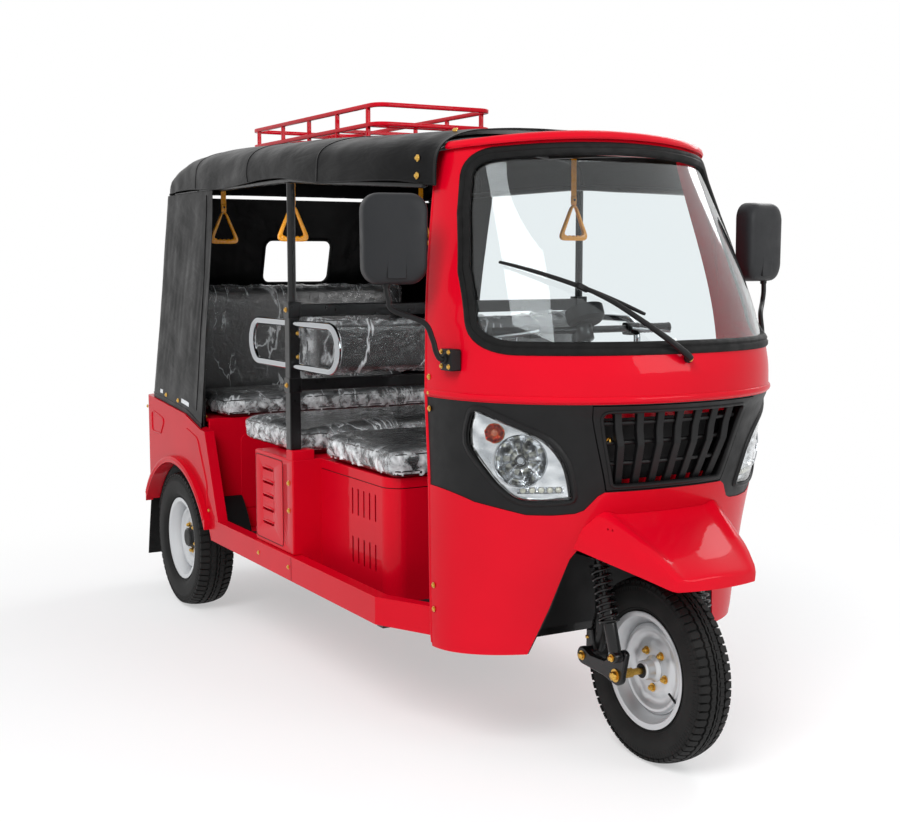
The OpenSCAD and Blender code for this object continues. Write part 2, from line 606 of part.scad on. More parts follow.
module rear_backrest() color([0.12, 0.12, 0.13]) {
    block([-panel_x + 60, tail_y - 308, bench_z + seat], [panel_x - 60, tail_y - 208, bench_z + 530]);
}

// --- Rear body ------------------------------------------------------------

rear_low = floor_z + 47;
corner_r = 60;
hatch_z1 = rear_belt_z - 55;
hatch_z0 = hatch_z1 - hatch_h;
hinge = [0, tail_y + 9, hatch_z1 + 2];
module rear_plan(in) {
    x = half_w - in;
    y = tail_y - in;
    r = corner_r - in;
    union() {
        translate([-x, sill_end - 200]) square([2 * x, y - r - sill_end + 200]);
        translate([-x + r, sill_end]) square([2 * x - 2 * r, y - sill_end]);
        for (s = [-1, 1]) translate([s * (x - r), y - r]) circle(r = r);
    }
}
module rear_body() color("crimson") difference() {
    union() {
        intersection() {
            translate([0, 0, sill_low]) linear_extrude(700) difference() {
                rear_plan(0);
                difference() { rear_plan(side_t); translate([-half_w, tail_y - side_t]) square([body_w, 100]); }
            }
            prism_x([[rear_front_y, sill_z], [rear_front_y + 135, 765], [rear_front_y + 185, 767],
                [tail_y - 520, rear_belt_z - 37], [tail_y - 60, rear_belt_z], [tail_y + 1, rear_belt_z],
                [tail_y + 1, rear_low], [arch_y + 360, rear_low], [arch_y + 300, sill_low],
                [sill_end, sill_low], [sill_end, sill_z]], -half_w, half_w);
        }
        mirrored() {
            rod_x(0.3 * hatch_w + 60 + seat, 0.3 * hatch_w + 110, hinge[1], hinge[2], 12);
            block([0.3 * hatch_w + 60 + seat, tail_y - 4, hatch_z1 + hatch_gap], [0.3 * hatch_w + 110, hinge[1], hatch_z1 + 16]);
        }
        mirrored() intersection() {
            rod_x(half_w - 10, half_w + 22, arch_y, arch_z, 2 * (arch_r + 26), $fn = 96);
            block([0, arch_y - 380, rear_low - 10], [half_w + 30, arch_y + 372, 800]);
        }
    }
    rod_x(-half_w - 40, half_w + 40, arch_y, arch_z, 2 * arch_r, $fn = 96);
    block([-hatch_w / 2 - hatch_gap, tail_y - side_t - 10, hatch_z0 - hatch_gap],
        [hatch_w / 2 + hatch_gap, tail_y + 1, hatch_z1 + hatch_gap]);
}
module wheel_housings() color([0.2, 0.2, 0.2]) mirrored() difference() {
    intersection() {
        rod_x(housing_x - housing_t, panel_x, arch_y, arch_z, 2 * arch_r, $fn = 96);
        block([0, arch_y - 500, floor_z], [half_w, arch_y + 500, 900]);
    }
    rod_x(housing_x, panel_x + 1, arch_y, arch_z, 2 * (arch_r - housing_t), $fn = 96);
}
module luggage_hatch() color("crimson") {
    block([-hatch_w / 2, tail_y - side_t, hatch_z0], [hatch_w / 2, tail_y, hatch_z1 - 6]);
    mirrored() {
        rod_x(0.3 * hatch_w, 0.3 * hatch_w + 60, hinge[1], hinge[2], 12);
        block([0.3 * hatch_w, tail_y - 1, hatch_z1 - 60], [0.3 * hatch_w + 60, tail_y + 4, hatch_z1 + 1]);
        block([0.3 * hatch_w, tail_y, hatch_z1 - 4], [0.3 * hatch_w + 60, hinge[1], hatch_z1 + 1]);
    }
    block([-45, tail_y, hatch_z0 + 40], [45, tail_y + 18, hatch_z0 + 70]);
}
module tail_lamps() color("darkred") mirrored() {
    block([hatch_w / 2 + 40, tail_y + seat, 470], [half_w - corner_r, tail_y + 30, 600]);
}
module mud_flaps() color([0.1, 0.1, 0.1]) mirrored() {
    prism_x([[tail_y - 22, rear_low - seat], [tail_y - 16, rear_low - seat], [tail_y + 46, 130], [tail_y + 40, 130]],
        half_w - 148, half_w - 12);
}
mat_x = half_w - sill_w - 6;
module floor_mats() color([0.3, 0.3, 0.32]) {
    // One mat in front of the driver's box and along both sides of it, one in the rear footwell
    translate([0, 0, floor_top + seat]) linear_extrude(6) polygon([[-470, cab_foot_y + 60], [470, cab_foot_y + 60],
        [mat_x, sill_kink_y], [mat_x, step_y0 - 6], [box_x + 5, step_y0 - 6], [box_x + 5, box_y0 - 6],
        [-box_x - 5, box_y0 - 6], [-box_x - 5, step_y0 - 6], [-mat_x, step_y0 - 6], [-mat_x, sill_kink_y]]);
    block([-mat_x + 30, step_y1 + 6, floor_top + seat], [mat_x - 30, arch_y - 405, floor_top + 6 + seat]);
}

// --- Drive ----------------------------------------------------------------

engine_z0 = 225;
shaft_z = 262;
module engine() color("gray") {
    block([-180, engine_y0, engine_z0], [180, engine_y1, seat_z - 68]);
    rod([0, engine_y1, shaft_z], [0, rear_y - 110, shaft_z + 6], 44);
}
module rear_axle() color([0.12, 0.12, 0.12]) {
    x1 = housing_x + 12;
    rod_x(-x1, x1, rear_y, axle_z, 64);
    rod_x(-100, 100, rear_y, axle_z, 2 * (floor_z - 10 - axle_z));
    rod([0, rear_y - 110 + seat, axle_z - 12], [0, rear_y, axle_z - 12], 74);
    mirrored() rod_x(x1, rear_track / 2 + 36, rear_y, axle_z, 35);
}
module leaf_springs() color([0.15, 0.15, 0.15]) mirrored() {
    top = floor_z - seat;
    block([325, rear_y - 390, axle_z + 32 + seat], [375, rear_y + 340, axle_z + 50]);
    for (y = [rear_y - 410, rear_y + 330]) block([320, y, floor_z - 44], [380, y + 30, top]);
    block([320, rear_y - 45, axle_z + 50], [380, rear_y + 45, axle_z + 58]);
}
module exhaust() color("silver") {
    rod([130, engine_y1 + seat, 243], [130, engine_y1 + 400, 236], 34);
    rod([130, engine_y1 + 395, 236], [130, engine_y1 + 830, 236], 104);
    rod([130, engine_y1 + 825, 222], [130, tail_y + 18, 222], 34);
}

// --- Steering -------------------------------------------------------------

crown_z = front_tyre_r + 325;
link_x = 128;
link_t = 18;
pivot = [front_y + 163, front_tyre_r + 17];
shock_low = [front_y - 26, front_tyre_r + 62];
shock_x = 165;
bar_z = 1205;
module front_fork() color([0.1, 0.1, 0.1]) {
    on_head(crown_z - 10) cylinder(h = (bar_z - crown_z) / cos(rake), d = column_d);
    block([-fork_x - 22, head_y(crown_z) - 32, crown_z - 16], [fork_x + 22, head_y(crown_z) + 28, crown_z + 16]);
    mirrored() {
        rod([fork_x, pivot[0], pivot[1]], [fork_x, head_y(crown_z), crown_z], 40);
        rod_x(fork_x - 18, link_x - seat, pivot[0], pivot[1], 46);
        rod_x(link_x - 2, link_x + link_t + 10, pivot[0], pivot[1], 16);
        block([fork_x, front_y + 40, crown_z], [shock_x + 22, head_y(crown_z), crown_z + 16]);
    }
}
module suspension_links() color([0.1, 0.1, 0.1]) {
    rod_x(-link_x - link_t - 14, link_x + link_t + 14, front_y, front_tyre_r, axle_d);
    mirrored() difference() {
        union() {
            rod_x(link_x, link_x + link_t, pivot[0], pivot[1], 54);
            rod_x(link_x, link_x + link_t, front_y, front_tyre_r, 58);
            prism_x([[pivot[0], pivot[1] - 24], [pivot[0], pivot[1] + 24], [shock_low[0] + 20, shock_low[1] + 8],
                [shock_low[0] - 16, shock_low[1] + 8], [front_y - 27, front_tyre_r], [front_y, front_tyre_r - 27]],
                link_x, link_x + link_t);
        }
        rod_x(link_x - 5, link_x + link_t + 5, pivot[0], pivot[1], 16 + 2 * bore_gap);
    }
}
module front_shocks() color([0.1, 0.1, 0.1]) mirrored() {
    a = [shock_x, shock_low[0], shock_low[1]];
    b = [shock_x, front_y + 60, crown_z - seat];
    u = (b - a) / norm(b - a);
    rod_x(link_x + link_t + seat, shock_x + 16, a[1], a[2], 28);
    rod(a, a + 100 * u, 30);
    rod(a + 96 * u, b - 16 * u, 52);
    intersection() {
        rod(b - 20 * u, b + 10 * u, 26);
        block([0, front_y - 100, 0], [400, front_y + 300, crown_z - seat]);
    }
}
module handlebar() color([0.1, 0.1, 0.1]) {
    y = head_y(bar_z);
    difference() {
        union() {
            on_head(bar_z - 22) cylinder(h = 62, d = column_d + 26);
            rod_x(-330, 330, y + 6, bar_z + 12, 22);
        }
        on_head(bar_z - 60) cylinder(h = 58, d = column_d + 2 * seat);
    }
    mirrored() {
        rod_x(205, 331, y + 6, bar_z + 12, 32);
        block([160, y - 18, bar_z - 10], [206, y + 30, bar_z + 34]);
    }
    translate([0, y - 18, bar_z + 32]) rotate([-25, 0, 0]) cylinder(h = 48, d = 118);
}

// --- Wheels ---------------------------------------------------------------

// A tyre: its profile runs from the bead over the sidewall to the tread
module tyre(r, w) {
    waist = bead_r + 0.45 * (r - bead_r);
    half = [[bead_r, 0.36], [bead_r + flange_h + 3, 0.36], [waist, 0.5], [r - 22, 0.475], [r - 7, 0.39], [r, 0.2]];
    rotate([0, 90, 0]) rotate_extrude($fn = 96) polygon(concat(
        [for (p = half) [p[0], -w * p[1]]], [for (p = reversed(half)) [p[0], w * p[1]]]));
}
// Pressed steel wheel with its hub; the dish faces +x
module rim(w, hub_r, hub_w, bore) {
    f = 0.36 * w;
    edge = bead_r + flange_h;
    rotate([0, 90, 0]) rotate_extrude($fn = 96) polygon([
        [bore / 2, -hub_w / 2], [hub_r, -hub_w / 2], [hub_r, 4], [100, 12], [bead_r - 26, 4],
        [bead_r - 26, -f + 12], [bead_r - 5, -f - 5], [edge, -f - 5], [edge, -f - 1],
        [bead_r - seat, -f - 1], [bead_r - seat, f + 1], [edge, f + 1], [edge, f + 5],
        [bead_r - 5, f + 5], [bead_r - 16, f - 12], [bead_r - 16, 14], [100, 22], [hub_r, 14], [hub_r, hub_w / 2],
        [bore / 2, hub_w / 2]]);
}
module at_front() { translate([0, front_y, front_tyre_r]) children(); }
module at_rear(s) { translate([s * rear_track / 2, rear_y, axle_z]) mirror([s > 0 ? 0 : 1, 0, 0]) children(); }
module front_tyre() color([0.09, 0.09, 0.09]) at_front() tyre(front_tyre_r, front_tyre_w);
module front_rim() color("silver") at_front() rim(front_tyre_w, 34, 110, axle_d + 2 * bore_gap);
module rear_tyre(s) color([0.09, 0.09, 0.09]) at_rear(s) tyre(rear_tyre_r, rear_tyre_w);
module rear_rim(s) color("silver") at_rear(s) rim(rear_tyre_w, 44, 72, 35 + 2 * bore_gap);

chassis_frame();
floor_pan();
cab_nose();
front_fender();
wheel_liner();
lamp_panels();
grille();
headlamps();
cab_front();
windshield_seal();
windshield_glass();
roof_visor();
wiper();
mirrors();
dashboard();
canopy_cover();
rear_curtain();
canopy_frame();
roof_rack();
centre_posts();
grab_rails();
grab_handles();
seat_box();
driver_seat();
middle_bench();
middle_backrest();
rear_bench_base();
rear_bench_cushion();
rear_backrest();
rear_body();
wheel_housings();
tail_lamps();
mud_flaps();
floor_mats();
engine();
rear_axle();
leaf_springs();
exhaust();
handlebar();
front_fork();
suspension_links();
front_shocks();
front_tyre();
front_rim();
rear_tyre(-1);  // rear_tyre_right
rear_rim(-1);  // rear_rim_right
rear_tyre(1);  // rear_tyre_left
rear_rim(1);  // rear_rim_left
luggage_hatch();
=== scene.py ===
import json
import math
import random

import bpy
import bmesh
import numpy as np
from mathutils import Matrix, Vector, noise
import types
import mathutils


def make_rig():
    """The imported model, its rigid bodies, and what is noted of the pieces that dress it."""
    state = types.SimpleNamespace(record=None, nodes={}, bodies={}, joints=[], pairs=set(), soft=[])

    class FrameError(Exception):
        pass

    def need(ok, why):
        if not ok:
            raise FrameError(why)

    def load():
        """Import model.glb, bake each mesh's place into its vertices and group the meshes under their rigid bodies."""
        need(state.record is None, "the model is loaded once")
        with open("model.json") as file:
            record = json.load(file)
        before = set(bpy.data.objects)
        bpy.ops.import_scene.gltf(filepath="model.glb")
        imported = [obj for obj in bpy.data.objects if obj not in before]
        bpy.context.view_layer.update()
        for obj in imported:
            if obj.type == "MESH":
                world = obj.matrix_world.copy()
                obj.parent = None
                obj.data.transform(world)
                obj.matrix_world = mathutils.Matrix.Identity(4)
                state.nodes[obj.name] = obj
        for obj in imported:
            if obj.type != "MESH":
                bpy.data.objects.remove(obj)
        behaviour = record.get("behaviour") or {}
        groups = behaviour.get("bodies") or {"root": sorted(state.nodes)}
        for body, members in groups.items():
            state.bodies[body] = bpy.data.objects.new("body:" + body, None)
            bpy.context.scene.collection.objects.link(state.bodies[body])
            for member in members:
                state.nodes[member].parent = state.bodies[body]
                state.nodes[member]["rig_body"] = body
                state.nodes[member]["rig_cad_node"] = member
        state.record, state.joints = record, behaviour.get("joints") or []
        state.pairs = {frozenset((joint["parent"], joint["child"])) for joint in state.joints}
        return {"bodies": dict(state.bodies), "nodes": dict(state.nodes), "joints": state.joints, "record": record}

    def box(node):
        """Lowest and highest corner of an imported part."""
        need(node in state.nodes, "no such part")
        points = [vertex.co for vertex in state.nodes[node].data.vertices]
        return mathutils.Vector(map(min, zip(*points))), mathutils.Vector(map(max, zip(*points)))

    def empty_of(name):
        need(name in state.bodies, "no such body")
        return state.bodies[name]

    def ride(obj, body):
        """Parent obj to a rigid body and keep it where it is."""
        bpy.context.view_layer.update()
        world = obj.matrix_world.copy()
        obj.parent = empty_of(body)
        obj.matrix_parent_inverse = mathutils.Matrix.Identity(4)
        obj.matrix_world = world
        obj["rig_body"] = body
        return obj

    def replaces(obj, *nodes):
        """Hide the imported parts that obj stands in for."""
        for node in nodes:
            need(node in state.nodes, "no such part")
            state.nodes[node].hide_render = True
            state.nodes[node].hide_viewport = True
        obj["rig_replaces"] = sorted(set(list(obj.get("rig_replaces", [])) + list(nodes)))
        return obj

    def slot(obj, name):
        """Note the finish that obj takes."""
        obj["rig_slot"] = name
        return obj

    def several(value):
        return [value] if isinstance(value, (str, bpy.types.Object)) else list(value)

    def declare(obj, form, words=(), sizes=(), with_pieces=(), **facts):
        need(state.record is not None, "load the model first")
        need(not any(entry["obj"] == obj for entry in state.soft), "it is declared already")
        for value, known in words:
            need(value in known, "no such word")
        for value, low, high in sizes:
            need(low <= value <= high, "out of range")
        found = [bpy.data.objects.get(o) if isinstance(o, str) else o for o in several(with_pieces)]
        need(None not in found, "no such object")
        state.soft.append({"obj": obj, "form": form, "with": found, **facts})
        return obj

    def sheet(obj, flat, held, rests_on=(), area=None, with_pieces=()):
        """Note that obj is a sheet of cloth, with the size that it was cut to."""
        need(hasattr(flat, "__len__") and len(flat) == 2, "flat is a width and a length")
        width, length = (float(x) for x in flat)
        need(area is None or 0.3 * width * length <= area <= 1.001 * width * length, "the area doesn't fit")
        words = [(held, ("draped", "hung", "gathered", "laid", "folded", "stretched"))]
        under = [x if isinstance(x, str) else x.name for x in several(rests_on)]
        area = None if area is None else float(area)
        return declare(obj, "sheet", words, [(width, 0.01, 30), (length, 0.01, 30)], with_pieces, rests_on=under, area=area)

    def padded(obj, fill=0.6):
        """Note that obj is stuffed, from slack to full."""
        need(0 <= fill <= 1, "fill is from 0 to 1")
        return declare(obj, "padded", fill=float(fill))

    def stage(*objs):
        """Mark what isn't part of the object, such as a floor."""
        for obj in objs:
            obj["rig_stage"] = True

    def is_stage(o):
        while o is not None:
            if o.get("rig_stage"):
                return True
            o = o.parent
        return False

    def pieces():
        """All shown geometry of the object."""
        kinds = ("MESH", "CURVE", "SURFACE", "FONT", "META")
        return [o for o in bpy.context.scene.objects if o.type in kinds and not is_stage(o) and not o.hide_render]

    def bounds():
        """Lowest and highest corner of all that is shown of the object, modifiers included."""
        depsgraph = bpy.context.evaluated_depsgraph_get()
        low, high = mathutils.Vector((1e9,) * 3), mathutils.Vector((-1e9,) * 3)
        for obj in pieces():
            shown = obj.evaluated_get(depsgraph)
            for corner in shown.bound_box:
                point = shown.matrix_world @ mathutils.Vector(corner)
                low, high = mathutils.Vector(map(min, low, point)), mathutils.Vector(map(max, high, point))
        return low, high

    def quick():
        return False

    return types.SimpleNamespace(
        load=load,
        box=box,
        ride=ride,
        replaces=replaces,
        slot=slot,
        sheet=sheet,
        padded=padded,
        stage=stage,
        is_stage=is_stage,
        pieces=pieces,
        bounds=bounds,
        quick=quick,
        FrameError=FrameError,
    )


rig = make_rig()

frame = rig.load()


def saveSize(stage):
    low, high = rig.bounds()
    sizes = {} if stage == "frame" else json.load(open("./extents.json"))
    sizes[stage] = [list(low), list(high)]
    json.dump(sizes, open("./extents.json", "w"))


saveSize("frame")
random.seed(7)

# Driving sizes in metres: -Y is forward, +X the vehicle's left, Z up
halfLength, halfWidth = 1.57, 0.62
frontY = -halfLength + 0.27  # front axle
rearY = frontY + 2.39  # rear axle
tailY = halfLength - 0.07  # rear panel
postY = frontY + 1.24  # centre posts
noseZ, beltZ, visorZ = 0.315, 1.056, 1.74
panelTop = beltZ - 0.011
hoodZ = 1.872
floorTop = 0.36
seatZ = 0.758
benchZ = seatZ + 0.05
rearBeltZ = 0.85
rearFrontY = rearY - 0.485
archY, archZ, archR = rearY - 0.01, 0.169, 0.431
rake = math.radians(20)


# ---- Curves ----


def curve(*knots):
    # Smooth curve through the knots that never overshoots them
    t = np.array([k[0] for k in knots], float)
    v = np.array([k[1] for k in knots], float)
    step = np.diff(t)
    rise = np.diff(v) / step
    slope = np.zeros(len(t))
    for i in range(1, len(t) - 1):
        if rise[i - 1] * rise[i] > 0:
            slope[i] = 2 * rise[i - 1] * rise[i] / (rise[i - 1] + rise[i])
    slope[0], slope[-1] = rise[0], rise[-1]

    def value(x):
        x = np.clip(np.asarray(x, float), t[0], t[-1])
        i = np.clip(np.searchsorted(t, x) - 1, 0, len(t) - 2)
        s = (x - t[i]) / step[i]
        return (
            v[i] * (1 + 2 * s) * (1 - s) ** 2
            + v[i + 1] * s * s * (3 - 2 * s)
            + slope[i] * step[i] * s * (1 - s) ** 2
            - slope[i + 1] * step[i] * s * s * (1 - s)
        )

    return value


def power(value, exponent):
    return np.sign(value) * np.abs(value) ** exponent


# The cab by height: half width, front, door edge and the rise of its middle
cabSide = curve((noseZ, 0.53), (0.35, 0.534), (0.8, 0.541), (1.0, 0.549), (beltZ, 0.551),
                (beltZ + 0.134, 0.545), (beltZ + 0.244, 0.535), (visorZ, 0.452))
cabNose = curve((noseZ, frontY + 0.108), (0.35, frontY + 0.1), (0.6, frontY + 0.03), (0.8, frontY - 0.045),
                (1.0, frontY - 0.095), (beltZ, frontY - 0.128), (beltZ + 0.054, frontY - 0.128),
                (beltZ + 0.134, frontY - 0.11), (visorZ, frontY + 0.21))
cabDoor = curve((noseZ, frontY + 0.37), (beltZ, frontY + 0.37), (visorZ, frontY + 0.48))
cabRound = 0.909  # roundness of the cab's plan: 1 is an ellipse
cabRise = curve((beltZ + 0.134, 0), (visorZ, 0.032))


def cabPoint(z, turn, inset=0.0):
    # turn runs from -pi/2 at the right door edge to pi/2 at the left one
    side, nose, door = cabSide(z) - inset, cabNose(z) + inset, cabDoor(z)
    x = side * power(np.sin(turn), cabRound)
    y = door - (door - nose) * np.abs(np.cos(turn)) ** cabRound
    return np.stack([x, y, z + cabRise(z) * (1 - (x / side) ** 2)], -1)


def cabField(p):
    x, y = p[:, 0], p[:, 1]
    z = p[:, 2] - cabRise(p[:, 2]) * (1 - np.minimum(1, np.abs(x) / cabSide(p[:, 2])) ** 2)
    side, nose, door = cabSide(z), cabNose(z), cabDoor(z)
    return np.abs(x / side) ** (2 / cabRound) + np.maximum(0, (door - y) / (door - nose)) ** (2 / cabRound)


def onCab(x, z, out=0.0):
    # Point of the cab's skin at a width and a height, pushed out along its normal
    side, nose, door = cabSide(z), cabNose(z), cabDoor(z)
    share = np.clip(np.abs(x) / side, 0, 1)
    y = door - (door - nose) * (1 - share ** (2 / cabRound)) ** (cabRound / 2)
    p = np.array([[x, y, z + cabRise(z) * (1 - share**2)]], float)
    return Vector(p[0]) + out * Vector(slopes(cabField, p)[0])


hoodFront, hoodBack = frontY + 0.42, tailY - 0.254
hoodHalf = curve((hoodFront, 0.492), (frontY + 0.7, 0.564), (frontY + 1.0, 0.602), (postY, 0.612),
                 (tailY - 0.374, 0.612), (tailY - 0.32, 0.597), (tailY - 0.275, 0.57), (hoodBack, 0.522))
hoodTop = curve((hoodFront, hoodZ - 0.056), (frontY + 1.3, hoodZ - 0.022), (tailY - 0.8, hoodZ),
                (tailY - 0.55, hoodZ - 0.004), (tailY - 0.417, hoodZ - 0.036), (tailY - 0.32, hoodZ - 0.088),
                (hoodBack, hoodZ - 0.165))
hoodLow = curve((hoodFront, hoodZ - 0.237), (frontY + 1.0, hoodZ - 0.2), (frontY + 1.3, hoodZ - 0.182),
                (tailY, hoodZ - 0.182))


def hoodPoint(y, turn, inset=0.0):
    low = hoodLow(y)
    x = (hoodHalf(y) - inset) * power(np.sin(turn), 0.55)
    z = low + (hoodTop(y) - inset - low) * np.abs(np.cos(turn)) ** 0.42
    return np.stack([x, y + 0 * x, z], -1)


def hoodHeight(x, y):
    low = hoodLow(y)
    share = min(1, abs(x) / hoodHalf(y))
    return float(low + (hoodTop(y) - low) * math.sqrt(max(0, 1 - share ** (2 / 0.55))) ** 0.42)


rearTopZ = hoodZ - 0.182
curtainHalf = halfWidth - 0.008
beltLine = curve((rearFrontY, 0.43), (rearFrontY + 0.135, 0.765), (rearFrontY + 0.185, 0.767),
                 (tailY - 0.52, rearBeltZ - 0.037), (tailY - 0.06, rearBeltZ))
curtainBack = curve((rearBeltZ, tailY - 0.002), (rearTopZ, tailY - 0.254))
curtainEdge = curve((rearBeltZ, rearFrontY + 0.195), (1.28, rearFrontY + 0.1), (rearTopZ, rearFrontY + 0.015))


def slopes(field, points, step=1e-4):
    # Unit gradient of a field, which is the normal of its surface
    out = np.zeros_like(points)
    for axis in range(3):
        shift = np.zeros(3)
        shift[axis] = step
        out[:, axis] = field(points + shift) - field(points - shift)
    return out / np.maximum(np.linalg.norm(out, axis=1, keepdims=True), 1e-12)


# ---- Mesh helpers ----


def addMesh(name, verts, faces, material=None, angle=35.0):
    mesh = bpy.data.meshes.new(name)
    mesh.from_pydata([tuple(map(float, v)) for v in verts], [], [tuple(map(int, f)) for f in faces])
    obj = bpy.data.objects.new(name, mesh)
    bpy.context.collection.objects.link(obj)
    tidy(obj, angle)
    if material:
        mesh.materials.append(material)
    return obj


def tidy(obj, angle=35.0):
    # Merges doubles, turns faces outward and shades smooth below an angle
    bm = bmesh.new()
    bm.from_mesh(obj.data)
    bmesh.ops.remove_doubles(bm, verts=bm.verts, dist=2e-5)
    bmesh.ops.dissolve_degenerate(bm, dist=1e-6, edges=bm.edges)
    bmesh.ops.recalc_face_normals(bm, faces=bm.faces)
    bm.to_mesh(obj.data)
    bm.free()
    obj.data.polygons.foreach_set("use_smooth", [True] * len(obj.data.polygons))
    obj.data.set_sharp_from_angle(angle=math.radians(angle))
    obj.data.update()


def bake(obj):
    # Turns the modifiers into plain mesh
    graph = bpy.context.evaluated_depsgraph_get()
    mesh = bpy.data.meshes.new_from_object(obj.evaluated_get(graph))
    obj.modifiers.clear()
    obj.data = mesh
    return obj


def modify(obj, kind, **settings):
    modifier = obj.modifiers.new(kind.title(), kind)
    for key, value in settings.items():
        setattr(modifier, key, value)
    return bake(obj)


def cut(obj, *tools, operation="DIFFERENCE"):
    for tool in tools:
        modify(obj, "BOOLEAN", object=tool, operation=operation, solver="EXACT")
    for tool in set(tools):
        bpy.data.objects.remove(tool)
    return obj


def soften(obj, width, segments=2, angle=35.0):
    return modify(obj, "BEVEL", width=width, segments=segments, angle_limit=math.radians(angle),
                  limit_method="ANGLE", use_clamp_overlap=True, harden_normals=False)


def evenShade(obj, angle=30.0):
    # Shades flat faces flat and lets only the narrow bevels carry the turn
    obj.data.set_sharp_from_angle(angle=math.radians(angle))
    return modify(obj, "WEIGHTED_NORMAL", weight=100, keep_sharp=True)


def fieldNormals(obj, field, sharp=30.0):
    # Shades the faces that lie along a field's surface with its exact normals
    mesh = obj.data
    mesh.set_sharp_from_angle(angle=math.radians(35))
    points = np.zeros(len(mesh.vertices) * 3)
    mesh.vertices.foreach_get("co", points)
    exact = slopes(field, points.reshape(-1, 3))
    corner = np.zeros(len(mesh.loops) * 3)
    mesh.corner_normals.foreach_get("vector", corner)
    corner = corner.reshape(-1, 3)
    at = np.zeros(len(mesh.loops), int)
    mesh.loops.foreach_get("vertex_index", at)
    flat = np.zeros(len(mesh.polygons) * 3)
    mesh.polygons.foreach_get("normal", flat)
    sizes = np.zeros(len(mesh.polygons), int)
    mesh.polygons.foreach_get("loop_total", sizes)
    flat = np.repeat(flat.reshape(-1, 3), sizes, axis=0)
    along = (flat * exact[at]).sum(1)
    near = np.abs(along) > math.cos(math.radians(sharp))
    corner[near] = (exact[at] * np.sign(along)[:, None])[near]
    mesh.normals_split_custom_set(corner.tolist())
    return obj


def quads(m, n, loop=False, closed=True):
    # Faces between m rows of n points; loop joins the last row to the first, closed each row's ends
    return [(j * n + i, j * n + (i + 1) % n, (j + 1) % m * n + (i + 1) % n, (j + 1) % m * n + i)
            for j in range(m if loop else m - 1) for i in range(n if closed else n - 1)]


def solid(name, rows, material=None, angle=35.0, loop=False):
    # A closed solid through rings of points; loop joins the last ring to the first
    rows = np.asarray(rows, float)
    m, n = rows.shape[:2]
    faces = quads(m, n, loop)
    if not loop:
        faces += [tuple(range(n))[::-1], tuple(range((m - 1) * n, m * n))]
    return addMesh(name, rows.reshape(-1, 3), faces, material, angle)


def shell(name, outer, inner, material=None, angle=35.0):
    # Outer and inner surfaces, each rows of points, closed round their rims
    return solid(name, np.concatenate([outer, inner[:, ::-1]], axis=1), material, angle)


def smoothPath(points, parts=6, closed=False):
    points = [Vector(p) for p in points]
    n = len(points)
    out = []
    for i in range(n if closed else n - 1):
        if closed:
            a, b, c, d = (points[(i + k) % n] for k in (-1, 0, 1, 2))
        else:
            a, b, c, d = points[max(i - 1, 0)], points[i], points[i + 1], points[min(i + 2, n - 1)]
        for k in range(parts):
            t = k / parts
            out.append(0.5 * (2 * b + (c - a) * t + (2 * a - 5 * b + 4 * c - d) * t * t
                              + (3 * b - a - 3 * c + d) * t**3))
    if not closed:
        out.append(points[-1])
    return out


def roundCorners(points, radius, closed=False, parts=5):
    # Bends of a bent bar, each with the same radius
    points = [Vector(p) for p in points]
    n = len(points)
    out = []
    for i, p in enumerate(points):
        if not closed and i in (0, n - 1):
            out.append(p)
            continue
        a, b = points[i - 1] - p, points[(i + 1) % n] - p
        turn = a.angle(b)
        if turn > math.pi - 0.05:
            out.append(p)
            continue
        reach = min(radius / math.tan(turn / 2), 0.48 * a.length, 0.48 * b.length)
        start, end = p + a.normalized() * reach, p + b.normalized() * reach
        for k in range(parts + 1):
            t = k / parts
            out.append(start * (1 - t) ** 2 + p * 2 * t * (1 - t) + end * t * t)
    return out


def beside(path, i, closed=False):
    # The points before and after one point of a path
    n = len(path)
    return (path[i - 1], path[(i + 1) % n]) if closed else (path[max(i - 1, 0)], path[min(i + 1, n - 1)])


def frames(path, closed=False):
    # Side and up directions along a path, carried without twisting
    n = len(path)
    ahead = []
    for i in range(n):
        a, b = beside(path, i, closed)
        ahead.append((b - a).normalized())
    side = ahead[0].orthogonal().normalized()
    out = []
    for i in range(n):
        side = (side - ahead[i] * side.dot(ahead[i])).normalized()
        out.append((side.copy(), ahead[i].cross(side)))
    if closed:  # spread the leftover twist over the loop
        last = (side - ahead[0] * side.dot(ahead[0])).normalized()
        twist = math.atan2(last.dot(out[0][1]), last.dot(out[0][0]))
        out = [(s * math.cos(-twist * i / n) + u * math.sin(-twist * i / n),
                u * math.cos(-twist * i / n) - s * math.sin(-twist * i / n)) for i, (s, u) in enumerate(out)]
    return out


def spoke(side, up, angle):
    return math.cos(angle) * side + math.sin(angle) * up


def tube(name, path, radius, material=None, sides=14, closed=False, radii=None):
    path = [Vector(p) for p in path]
    rows = []
    for i, (p, (side, up)) in enumerate(zip(path, frames(path, closed))):
        r = radii[i] if radii else radius
        rows.append([p + r * spoke(side, up, 2 * math.pi * k / sides) for k in range(sides)])
    return solid(name, rows, material, angle=50, loop=closed)


def rod(name, start, end, radius, material=None, sides=16, chamfer=0.0):
    start, end = Vector(start), Vector(end)
    ahead = (end - start).normalized()
    path, radii = [start, end], [radius, radius]
    if chamfer:
        path = [start, start + ahead * chamfer, end - ahead * chamfer, end]
        radii = [radius - chamfer, radius, radius, radius - chamfer]
    return tube(name, path, radius, material, sides, radii=radii)


